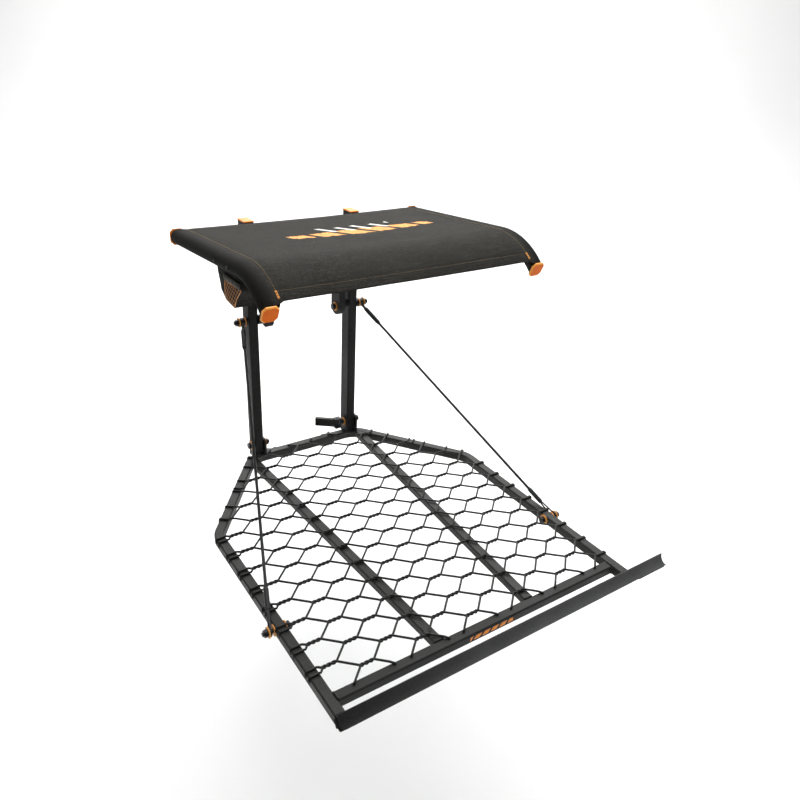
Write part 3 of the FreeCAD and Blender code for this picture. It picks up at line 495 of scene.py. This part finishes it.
CABLE_DIAMETER = 0.006
LAY_LENGTH = 0.034
RIGHT_ROUTE = [
    Vector((0.1683, -0.0967, 0.3053)),
    Vector((0.2418, -0.3024, 0.1676)),
    Vector((0.3153, -0.5081, 0.0316))]
LEFT_ROUTE = [
    Vector((-0.1683, -0.0967, 0.3053)),
    Vector((-0.2418, -0.3024, 0.1676)),
    Vector((-0.3153, -0.5081, 0.0316))]


def make_cable(route, node_name):
    """Laid cable between the crimped sleeves of the upright and of the platform."""
    path = spline_points(route, 60)
    shape = Shape()
    shape.tube(path, CABLE_DIAMETER / 2 * 0.96, 24, 2 * math.pi / LAY_LENGTH / 6, 6, 0.05)
    cable = shape.piece("suspension_" + node_name, vinyl, slot="coated_cable")
    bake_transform(cable)
    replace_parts(cable, node_name)


make_cable(RIGHT_ROUTE, "cable_right")
make_cable(LEFT_ROUTE, "cable_left")

# ---------------------------------------------------------------- seat cloth

SEAT_X = 0.2755
SEAT_REAR = Vector((0, -0.054, 0.547))
SEAT_SLOPE = math.radians(4.6)
SEAT_BEND_Y = -0.368
SEAT_BEND_RADIUS = 0.135
SEAT_BEND_ANGLE = math.radians(47.0)
SEAT_TAIL = 0.010
CLOTH_TOP = 0.0143
CLOTH_THICKNESS = 0.0007
STITCH_X = 0.258
REAR_MARGIN = 0.006
FRONT_MARGIN = 0.011
PLUG_GAP = 0.0010
PLUG_SLANT = math.tan(math.radians(18.4))
HEM_WIDTH = 0.018
BAR_TACK_LENGTH = 0.024


def seat_line(distance):
    """Point on the seat tubes' side line, with its forward and upward directions."""
    ahead = Vector((0, -math.cos(SEAT_SLOPE), math.sin(SEAT_SLOPE)))
    up = Vector((0, math.sin(SEAT_SLOPE), math.cos(SEAT_SLOPE)))
    run = (SEAT_REAR.y - SEAT_BEND_Y) / math.cos(SEAT_SLOPE)
    if distance <= run:
        return SEAT_REAR + ahead * distance, ahead, up
    centre = SEAT_REAR + ahead * run - up * SEAT_BEND_RADIUS
    turned = min((distance - run) / SEAT_BEND_RADIUS, SEAT_BEND_ANGLE)
    heading = SEAT_SLOPE - turned
    ahead = Vector((0, -math.cos(heading), math.sin(heading)))
    up = Vector((0, math.sin(heading), math.cos(heading)))
    extra = max(distance - run - SEAT_BEND_RADIUS * SEAT_BEND_ANGLE, 0)
    return centre + up * SEAT_BEND_RADIUS + ahead * extra, ahead, up


SEAT_LENGTH = (
    (SEAT_REAR.y - SEAT_BEND_Y) / math.cos(SEAT_SLOPE) + SEAT_BEND_RADIUS * SEAT_BEND_ANGLE + SEAT_TAIL)
CLOTH_START = REAR_MARGIN
CLOTH_END = SEAT_LENGTH - FRONT_MARGIN


def sleeve_profile():
    """Half cross-section, centre to stitch line underneath, as (across, height) pairs."""
    pair = []
    panel_steps = 46
    for step in range(panel_steps + 1):
        pair.append((SEAT_X * (step / panel_steps), CLOTH_TOP))
    wrap = math.radians(90 + 167.3)
    wrap_steps = 30
    for step in range(1, wrap_steps + 1):
        angle = math.pi / 2 - wrap * step / wrap_steps
        pair.append((SEAT_X + CLOTH_TOP * math.cos(angle), CLOTH_TOP * math.sin(angle)))
    last = pair[-1]
    under = (STITCH_X + 0.0006, CLOTH_TOP - 0.0017)
    for step in range(1, 6):
        share = step / 5
        pair.append((last[0] + (under[0] - last[0]) * share, last[1] + (under[1] - last[1]) * share))
    return pair


def cloth_dip(x, distance):
    """How far the panel hangs below the flat line across the tube tops."""
    inner = max(1 - (abs(x) / STITCH_X) ** 2, 0)
    middle = math.sin(math.pi * min(max((distance - CLOTH_START) / (CLOTH_END - CLOTH_START), 0), 1))
    sag = 0.0045 * inner * (0.45 + 0.55 * middle)
    ripple = noise.noise(Vector((x * 9, distance * 14, 3.1))) * 0.0009 * inner
    near_stitch = math.exp(-((abs(x) - STITCH_X) / 0.006) ** 2)
    groove = 0.0009 * near_stitch
    pucker_zone = math.exp(-((abs(x) - STITCH_X + 0.010) / 0.010) ** 2)
    waver = noise.noise(Vector((x, distance * 30, 0)))
    pucker = 0.00035 * pucker_zone * math.sin(distance * 2 * math.pi / 0.0105 + waver)
    hem_near = math.exp(-((CLOTH_END - HEM_WIDTH - distance) / 0.0025) ** 2)
    hem_groove = 0.0006 * hem_near if abs(x) < STITCH_X else 0.0
    return sag + ripple + groove + pucker + hem_groove


def smooth(value):
    value = min(max(value, 0.0), 1.0)
    return value * value * (3 - 2 * value)


def sleeve_reach(x, height, distance):
    """How much further than the panel a sleeve runs, up to the slanting face of the end plug."""
    on_sleeve = smooth((abs(x) - 0.253) / 0.009) if height > 0 or abs(x) > SEAT_X else 1.0
    near_end = smooth((distance - CLOTH_END + 0.045) / 0.045)
    near_start = smooth((CLOTH_START + 0.045 - distance) / 0.045)
    ahead = (FRONT_MARGIN - PLUG_GAP - PLUG_SLANT * height) * near_end
    return (ahead - (REAR_MARGIN - 0.0018) * near_start) * on_sleeve


def cloth_point(x, height, distance, extra=0.0):
    distance += sleeve_reach(x, height, distance)
    point, _, up = seat_line(distance)
    drop = cloth_dip(x, distance) if height > 0 and abs(x) <= SEAT_X else 0.0
    return point + Vector((x, 0, 0)) + up * (height - drop + extra)


def make_seat_cloth():
    half = sleeve_profile()
    profile = [(-x, height) for x, height in reversed(half)] + half[1:]
    stations = []
    fold_drop = CLOTH_THICKNESS + 0.0002
    for share in (1.0, 0.5, 0.12):
        stations.append((CLOTH_START + HEM_WIDTH * share, -fold_drop))
    stations.append((CLOTH_START + 0.0002, -fold_drop * 0.75))
    stations.append((CLOTH_START - 0.0003, -fold_drop * 0.4))
    rows = 150
    for row in range(rows + 1):
        stations.append((CLOTH_START + (CLOTH_END - CLOTH_START) * row / rows, 0.0))
    stations.append((CLOTH_END + 0.0004, -fold_drop * 0.4))
    stations.append((CLOTH_END - 0.0001, -fold_drop * 0.75))
    for share in (0.12, 0.5, 1.0):
        stations.append((CLOTH_END - HEM_WIDTH * share, -fold_drop))
    points = []
    for distance, offset in stations:
        for x, height in profile:
            scale = (CLOTH_TOP + offset) / CLOTH_TOP
            if abs(x) > SEAT_X or height <= 0:
                side = SEAT_X if x > 0 else -SEAT_X
                points.append(cloth_point(side + (x - side) * scale, height * scale, distance))
            else:
                points.append(cloth_point(x, height, distance, offset))
    width = len(profile)
    faces = []
    for row in range(len(stations) - 1):
        for column in range(width - 1):
            first = row * width + column
            faces.append((first, first + width, first + width + 1, first + 1))
    cloth = new_piece("seat_sling", points, faces, seat_cloth, "seat")
    solidify = cloth.modifiers.new("thickness", "SOLIDIFY")
    solidify.thickness = CLOTH_THICKNESS
    solidify.offset = -1.0 if outward_is_up(cloth) else 1.0
    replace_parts(cloth, "seat_fabric")


def outward_is_up(cloth):
    """True if the top of the panel faces upwards."""
    best = max(cloth.data.polygons, key=lambda polygon: polygon.center.z)
    return best.normal.z > 0


make_seat_cloth()


def add_stitch(shape, start, end, up, radius):
    """One thread stitch that dives into the cloth at both ends."""
    middle = start.lerp(end, 0.5) + up * radius * 0.5
    quarter = start.lerp(end, 0.2) + up * radius * 0.35
    three = start.lerp(end, 0.8) + up * radius * 0.35
    path = [start - up * radius * 0.9, quarter, middle, three, end - up * radius * 0.9]
    shape.tube(path, [radius * 0.6, radius, radius, radius, radius * 0.6], 6, up=up)


def make_side_stitching():
    front = Shape()
    rear = Shape()
    pitch = 0.0043
    count = int((CLOTH_END - CLOTH_START - 0.006) / pitch)
    for x in (-STITCH_X, STITCH_X):
        for index in range(count):
            distance = CLOTH_START + 0.003 + pitch * index
            start = cloth_point(x, CLOTH_TOP, distance)
            end = cloth_point(x, CLOTH_TOP, distance + pitch * 0.62)
            up = seat_line(distance)[2]
            target = front if distance > CLOTH_END - BAR_TACK_LENGTH else rear
            add_stitch(target, start + up * 0.0003, end + up * 0.0003, up, 0.00040)
            if target is front:
                end = cloth_point(x, CLOTH_TOP, distance + pitch * 1.1)
                for shift in (-0.0011, 0.0011):
                    beside = Vector((shift, 0, 0)) + up * 0.0005
                    add_stitch(target, start + beside, end + beside, up, 0.00075)
    front.piece("side_stitching_front", orange_thread, "seat", "orange_net")
    rear.piece("side_stitching_rear", tan_thread, "seat", "orange_net")


def make_hem_stitching():
    hem = Shape()
    rear = Shape()
    pitch = 0.0041
    count = int(2 * (STITCH_X - 0.003) / pitch)
    for index in range(count):
        x = -STITCH_X + 0.003 + pitch * index
        for distance, target in ((CLOTH_END - HEM_WIDTH + 0.001, hem),
                                 (CLOTH_START + HEM_WIDTH * 0.75, rear)):
            start = cloth_point(x, CLOTH_TOP, distance)
            end = cloth_point(x + pitch * 0.5, CLOTH_TOP, distance)
            up = seat_line(distance)[2]
            add_stitch(target, start + up * 0.0002, end + up * 0.0002, up, 0.00032)
    hem.piece("hem_stitching_front", tan_thread, "seat", "orange_net")
    rear.piece("hem_stitching_rear", grey_thread, "seat", "grey_tape")


make_side_stitching()
make_hem_stitching()

# ---------------------------------------------------------------- wire mesh

COLUMN_PITCH = 0.0549
ROW_PITCH = 0.0558
COLUMN_ORIGIN = 0.2054
ROW_ORIGIN = -0.2799
TWIST_LENGTH = 0.027
WIRE_RADIUS = 0.0021
TWIST_RADIUS = 0.0017
MESH_HEIGHT = 0.0036
TWIST_TURNS = 1.5
PLATFORM_SIDE = 0.3255
MESH_FRONT = -0.7525
MESH_REAR = -0.0385
WIDE_CORNER_Y = -0.2833
REAR_CORNER_X = 0.1445
TUBE_CROSSING = 0.0165
EDGE_INSET = 0.0045
LUG_X = 0.1253
LUG_CLEARANCE = 0.017
LUG_FRONT = -0.0545


def edge_gaps(point):
    """How far inside each side edge a point lies, with that edge's outward direction."""
    hand = 1 if point.x > 0 else -1
    side = PLATFORM_SIDE - abs(point.x)
    slant = Vector((MESH_REAR - WIDE_CORNER_Y, PLATFORM_SIDE - REAR_CORNER_X)).normalized()
    diagonal = slant.x * side + slant.y * (WIDE_CORNER_Y - point.y)
    return [(side, Vector((hand, 0, 0))), (diagonal, Vector((slant.x * hand, slant.y, 0)))]


def on_platform(point):
    """True inside the line where the strands reach the tubes."""
    if point.y < MESH_FRONT or point.y > MESH_REAR:
        return False
    if min(gap for gap, _ in edge_gaps(point)) < TUBE_CROSSING:
        return False
    near_lug = abs(abs(point.x) - LUG_X) < LUG_CLEARANCE and point.y > LUG_FRONT
    return not near_lug


def hooked_end(point):
    """Way of a strand's end over a side tube and down its outer face."""
    gap, outward = min(edge_gaps(point), key=lambda pair: pair[0])
    if gap > TUBE_CROSSING + 0.002:
        return []
    ground = Vector((point.x, point.y, 0))
    over = TUBE_CROSSING + EDGE_INSET
    top = WIRE_RADIUS * 0.95
    way = [(0.004, top + 0.0007), (0.009, top), (over - 0.0035, top), (over - 0.001, top * 0.8),
           (over + 0.0004, 0.0), (over + 0.0008, -0.003), (over + 0.0008, -0.009)]
    return [ground + outward * reach + Vector((0, 0, height)) for reach, height in way]


def strand_path(row, first_up):
    """One wire from left to right: twisted with its neighbours in turn, stepping up and down."""
    path = []
    samples = 10
    step_row = 0.5 if first_up else -0.5
    for column in range(12, -4, -1):
        x_middle = COLUMN_ORIGIN - COLUMN_PITCH * column
        odd = column % 2
        base = ROW_ORIGIN - ROW_PITCH * (row + step_row * odd)
        next_base = ROW_ORIGIN - ROW_PITCH * (row + step_row * (1 - odd))
        phase = 0.0 if (odd == 0) == first_up else math.pi
        for sample in range(samples):
            share = sample / (samples - 1)
            angle = phase + share * 2 * math.pi * TWIST_TURNS
            path.append(Vector((
                x_middle + TWIST_LENGTH * (share - 0.5),
                base + TWIST_RADIUS * math.cos(angle),
                MESH_HEIGHT + TWIST_RADIUS * math.sin(angle))))
        end = path[-1]
        next_x = x_middle + COLUMN_PITCH - TWIST_LENGTH / 2
        for share in (0.15, 0.3, 0.45, 0.6, 0.75, 0.88):
            path.append(Vector((
                end.x + (next_x - end.x) * share,
                end.y + (next_base - end.y) * share,
                end.z + (MESH_HEIGHT - end.z) * share)))
    return path


def edge_point(inside, outside):
    """Where the way from one point to another leaves the platform."""
    for _ in range(10):
        middle = inside.lerp(outside, 0.5)
        if on_platform(middle):
            inside = middle
        else:
            outside = middle
    return inside


def platform_runs(path):
    """Parts of a strand that lie on the platform, each ending on its edge."""
    runs = []
    run = []
    for before, point in zip([path[0]] + path, path):
        if on_platform(point):
            if not run and not on_platform(before):
                run.append(edge_point(point, before))
            run.append(point)
        elif run:
            run.append(edge_point(run[-1], point))
            runs.append(run)
            run = []
    if run:
        runs.append(run)
    return runs


def wavered(point):
    """Slight irregularity of hand-stretched wire."""
    shift = noise.noise_vector(Vector((point.x * 7, point.y * 7, 1.7)))
    return point + Vector((shift.x * 0.0016, shift.y * 0.0016, 0))


def settled(run):
    """Wavered strand whose two ends bend down onto the tubes and hook over the side ones."""
    points = [wavered(point) for point in run]
    for end, order in ((points[0].copy(), points), (points[-1].copy(), list(reversed(points)))):
        for point in order:
            away = (point - end).length
            if away > 0.012:
                break
            lowest = WIRE_RADIUS * 0.8
            point.z = lowest + (point.z - lowest) * (away / 0.012)
    return list(reversed(hooked_end(points[0]))) + points + hooked_end(points[-1])


def make_wire_mesh():
    mesh = Shape()
    for row in range(-6, 11):
        for first_up in (True, False):
            for run in platform_runs(strand_path(row, first_up)):
                if len(run) > 3:
                    mesh.tube(settled(run), WIRE_RADIUS, 8)
    piece = mesh.piece("hexagon_mesh", wire_coat, "platform", "coated_wire")
    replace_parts(piece, "wire_mesh")


make_wire_mesh()

# ---------------------------------------------------------------- welds

random.seed(7)


def add_weld(shape, start, end, up, out, size):
    """Rippled weld bead in the corner between two tubes."""
    length = (end - start).length
    steps = max(int(length / 0.0012), 6)
    path = []
    radii = []
    for step in range(steps + 1):
        share = step / steps
        ripple = 1 + 0.13 * math.sin(share * length * 2 * math.pi / 0.0028) + random.uniform(-0.05, 0.05)
        taper = min(1.0, 0.45 + 6 * min(share, 1 - share))
        path.append(start.lerp(end, share) + up * (size * 0.15) + out * (size * 0.15))
        radii.append(size * ripple * taper)
    shape.tube(path, radii, 8, up=up)


def make_platform_welds():
    welds = Shape()
    up = Vector((0, 0, 1))
    front = Vector((0, -1, 0))
    rear = Vector((0, 1, 0))
    for side in (-1, 1):
        inward = Vector((-side, 0, 0))
        inner = 0.310 * side
        for y, out in ((-0.745, rear), (-0.765, front)):
            add_weld(welds, Vector((inner, y, -0.003)), Vector((inner, y, -0.018)), out, inward, 0.0026)
        add_weld(welds, Vector((inner, -0.747, 0.0)), Vector((inner, -0.763, 0.0)), up, inward, 0.0022)
        rail_front = 0.1026 * side
        add_weld(welds, Vector((rail_front - 0.009, -0.745, 0.0)), Vector((rail_front + 0.009, -0.745, 0.0)),
                 up, rear, 0.0022)
        for edge in (-0.0104, 0.0104):
            add_weld(welds, Vector((rail_front + edge, -0.7445, -0.002)),
                     Vector((rail_front + edge, -0.7445, -0.014)), rear, inward, 0.0020)
        for x in (0.1114, 0.1392):
            for edge in (-0.0524, -0.0252):
                add_weld(welds, Vector((x * side - 0.003, edge, 0.0)), Vector((x * side + 0.003, edge, 0.0)),
                         up, front, 0.0022)
        add_weld(welds, Vector((0.313 * side, -0.786, -0.001)), Vector((0.327 * side, -0.786, -0.001)),
                 up, front, 0.0020)
        add_weld(welds, Vector((0.330 * side, -0.788, -0.004)), Vector((0.330 * side, -0.797, -0.017)),
                 Vector((side, 0, 0)), front, 0.0020)
    welds.piece("platform_welds", coat, "platform", "powder_coat")


def make_seat_welds():
    welds = Shape()
    up = Vector((0, 0, 1))
    for side in (-1, 1):
        for x in (0.1089, 0.1137, 0.1367, 0.1416):
            for height in (0.0075, -0.0075):
                add_weld(welds, Vector((x * side, -0.0745, 0.543 + height - 0.002)),
                         Vector((x * side, -0.0745, 0.543 + height + 0.002)), up,
                         Vector((side, 0, 0)), 0.0016)
    welds.piece("seat_welds", coat, "seat", "powder_coat")


make_platform_welds()
make_seat_welds()

# ---------------------------------------------------------------- pouch

POUCH_OUTER_X = -0.2575
POUCH_INNER_X = -0.2228
POUCH_TOP = 0.5475
POUCH_LOW = 0.4718
POUCH_FRONT_EDGE = [(0.471, -0.2805), (0.491, -0.2935), (0.514, -0.3172), (0.560, -0.3172)]
POUCH_REAR_EDGE = [(0.471, -0.2790), (0.476, -0.2348), (0.487, -0.2188), (0.520, -0.2048), (0.560, -0.2048)]
NET_OUTLINE = [(-0.2470, 0.5150), (-0.3165, 0.5155), (-0.2920, 0.4915), (-0.2805, 0.4722), (-0.2410, 0.4765)]
NET_FAMILIES = ((math.radians(-46.8), 0.0060), (math.radians(12.5), 0.0085))


def edge_at(corners, height):
    """Place along y of an edge at a height, between its (z, y) corners."""
    for (low, first), (high, second) in zip(corners, corners[1:]):
        if height <= high:
            share = min(max((height - low) / (high - low), 0), 1)
            return first + (second - first) * share
    return corners[-1][1]


def pouch_bulge(y, height):
    """Outward swell of the pouch's side walls."""
    front = edge_at(POUCH_FRONT_EDGE, height)
    rear = edge_at(POUCH_REAR_EDGE, height)
    across = min(max((y - front) / max(rear - front, 0.001), 0), 1)
    tall = min(max((height - POUCH_LOW) / (POUCH_TOP - POUCH_LOW), 0), 1)
    return 0.0030 * math.sin(math.pi * across) * math.sin(math.pi * tall)


def inside_outline(y, z, outline):
    inside = False
    for (y0, z0), (y1, z1) in zip(outline, outline[1:] + outline[:1]):
        if (z0 > z) != (z1 > z) and y < y0 + (y1 - y0) * (z - z0) / (z1 - z0):
            inside = not inside
    return inside


def net_point(y, z):
    return Vector((POUCH_OUTER_X + 0.0022 - pouch_bulge(y, z), y, z))


def make_pouch_net():
    net = Shape()
    for angle, pitch in NET_FAMILIES:
        along = (math.cos(angle), math.sin(angle))
        for index in range(-12, 13):
            offset = pitch * index
            middle = (-0.279 - along[1] * offset, 0.494 + along[0] * offset)
            path = []
            for step in range(-34, 35):
                reach = 0.0015 * step
                sway = 0.0003 * math.sin(reach * 900 + index)
                y = middle[0] + along[0] * reach - along[1] * sway
                z = middle[1] + along[1] * reach + along[0] * sway
                if inside_outline(y, z, NET_OUTLINE):
                    path.append(net_point(y, z))
            if len(path) > 2:
                net.tube(path, 0.00050, 6)
    border = []
    for (y0, z0), (y1, z1) in zip(NET_OUTLINE, NET_OUTLINE[1:] + NET_OUTLINE[:1]):
        for step in range(8):
            border.append(net_point(y0 + (y1 - y0) * step / 8, z0 + (z1 - z0) * step / 8))
    border.append(border[0])
    net.tube(border, 0.0009, 6)
    net.piece("pouch_net", net_cord, "seat", "orange_net")


def grid_faces(rows, columns):
    """Faces of a sheet of points, row by row."""
    faces = []
    for row in range(rows - 1):
        for column in range(columns - 1):
            first = row * columns + column
            faces.append((first, first + 1, first + columns + 1, first + columns))
    return faces


def finish_cloth(piece):
    """Gives a sheet of cloth its thickness."""
    solidify = piece.modifiers.new("thickness", "SOLIDIFY")
    solidify.thickness = 0.0006


def make_pouch_gusset():
    """Strip of cloth down the pouch's rear edge, along its bottom and up its front edge."""
    outline = []
    steps = 22
    for step in range(steps + 1):
        height = POUCH_TOP + (0.4760 - POUCH_TOP) * step / steps
        outline.append((edge_at(POUCH_REAR_EDGE, height), height))
    for step in range(1, 10):
        share = step / 10
        outline.append((-0.2348 - 0.0457 * share, 0.4760 - 0.0042 * share))
    for step in range(steps + 1):
        height = POUCH_LOW + (POUCH_TOP - POUCH_LOW) * step / steps
        outline.append((edge_at(POUCH_FRONT_EDGE, height), height))
    columns = 9
    points = []
    for y, z in outline:
        for column in range(columns):
            share = column / (columns - 1)
            x = POUCH_OUTER_X + 0.0030 + (POUCH_INNER_X - POUCH_OUTER_X - 0.0040) * share
            crease = 0.0008 * math.sin(math.pi * share) * math.sin(z * 160)
            points.append(Vector((x, y + crease, z)))
    piece = new_piece("pouch_gusset", points, grid_faces(len(outline), columns), gusset_cloth,
                      "seat")
    finish_cloth(piece)


def make_pouch_wall(name, x, outward):
    """Side wall of the pouch from its tip up to the seat cloth."""
    rows = 26
    columns = 15
    points = []
    for row in range(rows):
        height = POUCH_LOW + 0.0006 + (POUCH_TOP - POUCH_LOW - 0.0006) * row / (rows - 1)
        front = edge_at(POUCH_FRONT_EDGE, height)
        rear = edge_at(POUCH_REAR_EDGE, height)
        for column in range(columns):
            y = front + (rear - front) * column / (columns - 1)
            wave = 0.0004 * math.sin(y * 210 + height * 90)
            points.append(Vector((x + outward * pouch_bulge(y, height) + wave, y, height)))
    piece = new_piece(name, points, grid_faces(rows, columns), gusset_cloth, "seat")
    finish_cloth(piece)
    return piece


def make_pouch_tape():
    """Grey tape over the net's top edge with its row of rivets."""
    tape = Shape()
    rivets = Shape()
    rear_y = -0.243
    front_y = -0.317
    x = POUCH_OUTER_X - 0.0012
    steps = 24
    rows = []
    for step in range(steps + 1):
        y = rear_y + (front_y - rear_y) * step / steps
        wave = 0.0005 * math.sin(step * 0.9)
        low = 0.5160 + wave * 0.4
        high = 0.5268 + wave * 0.4
        rows.append([
            Vector((x + 0.0014, y, low)), Vector((x + wave, y, low - 0.0002)),
            Vector((x - 0.0004 + wave, y, low + 0.004)), Vector((x - 0.0004 + wave, y, high - 0.004)),
            Vector((x + wave, y, high + 0.0002)), Vector((x + 0.0014, y, high))])
    tape.rings(rows)
    for index in range(6):
        y = rear_y - 0.008 - 0.0118 * index
        middle = Vector((x - 0.0004, y, 0.5214))
        out = Vector((-1, 0, 0))
        path = [middle, middle + out * 0.0005, middle + out * 0.0009, middle + out * 0.0010]
        rivets.tube(path, [0.0021, 0.0021, 0.0014, 0.0004], 16, up=Vector((0, 0, 1)))
    piece = tape.piece("pouch_tape", tape_cloth, "seat", "grey_tape")
    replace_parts(piece, "pouch_binding")
    rivets.piece("pouch_rivets", black_zinc, "seat", "black_hardware")


make_pouch_net()
make_pouch_gusset()
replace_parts(make_pouch_wall("pouch_outer_wall", POUCH_OUTER_X + 0.0036, -1), "pouch")
make_pouch_wall("pouch_inner_wall", POUCH_INNER_X - 0.0009, 1)
make_pouch_tape()

# ---------------------------------------------------------------- floor and light

FLOOR_GAP = 0.45


def make_floor():
    """Pale sweep: a flat floor that curves up behind into a wall."""
    level = cad_box[0][2] - FLOOR_GAP
    half_width = 9.0
    profile = [(-8.0, level), (4.0, level)]
    for step in range(1, 13):
        angle = math.pi / 2 * step / 12
        profile.append((4.0 + 2.0 * math.sin(angle), level + 2.0 * (1 - math.cos(angle))))
    profile.append((6.0, level + 8.0))
    points = []
    for y, z in profile:
        points.extend([Vector((-half_width, y, z)), Vector((half_width, y, z))])
    turn = Matrix.Rotation(CAMERA_AZIMUTH, 4, "Z")
    points = [turn @ point for point in points]
    faces = [(2 * row, 2 * row + 1, 2 * row + 3, 2 * row + 2) for row in range(len(profile) - 1)]
    floor = new_piece("floor", points, faces, floor_paint())


def make_light(name, place, target, size, power, tint):
    data = bpy.data.lights.new(name, "AREA")
    data.shape = "RECTANGLE"
    data.size = size[0]
    data.size_y = size[1]
    data.energy = power
    data.color = tint
    light = bpy.data.objects.new(name, data)
    light.location = place
    light.rotation_euler = (Vector(target) - Vector(place)).to_track_quat("-Z", "Y").to_euler()
    bpy.context.scene.collection.objects.link(light)


def make_world():
    world = bpy.data.worlds.new("studio")
    world.use_nodes = True
    tree = world.node_tree
    background = tree.nodes["Background"]
    direction = tree.nodes.new("ShaderNodeTexCoord")
    split = tree.nodes.new("ShaderNodeSeparateXYZ")
    ramp = tree.nodes.new("ShaderNodeValToRGB")
    ramp.color_ramp.elements[0].color = (0.16, 0.165, 0.175, 1.0)
    ramp.color_ramp.elements[0].position = 0.05
    ramp.color_ramp.elements[1].color = (0.93, 0.95, 1.0, 1.0)
    ramp.color_ramp.elements[1].position = 0.8
    tree.links.new(direction.outputs["Generated"], split.inputs[0])
    tree.links.new(split.outputs["Z"], ramp.inputs[0])
    tree.links.new(ramp.outputs[0], background.inputs["Color"])
    seen = tree.nodes.new("ShaderNodeBackground")
    chooser = tree.nodes.new("ShaderNodeMixShader")
    rays = tree.nodes.new("ShaderNodeLightPath")
    tree.links.new(rays.outputs["Is Camera Ray"], chooser.inputs[0])
    tree.links.new(background.outputs[0], chooser.inputs[1])
    tree.links.new(seen.outputs[0], chooser.inputs[2])
    tree.links.new(chooser.outputs[0], tree.nodes["World Output"].inputs[0])
    seen.inputs["Color"].default_value = (1.0, 1.0, 1.0, 1.0)
    background.inputs["Strength"].default_value = 0.40
    bpy.context.scene.world = world
    bpy.context.scene.view_settings.view_transform = "Standard"


make_floor()
make_light("key", (-1.2, -2.2, 3.0), (0, -0.35, 0.2), (2.2, 1.6), 12, (1.0, 0.98, 0.95))
make_light("top", (0.6, 0.2, 3.2), (0, -0.35, 0.1), (3.0, 3.0), 128, (1.0, 1.0, 1.0))
make_light("side", (2.8, -1.6, 1.6), (0, -0.35, 0.2), (1.6, 1.6), 8, (0.96, 0.98, 1.0))
make_light("rear", (1.6, 2.6, 1.7), (0, -0.3, 0.25), (2.4, 1.6), 34, (1.0, 1.0, 1.0))
make_light("backdrop", (2.2, 3.1, 3.8), (2.4, 3.4, 0.0), (8.0, 5.0), 370, (1.0, 1.0, 1.0))
make_world()
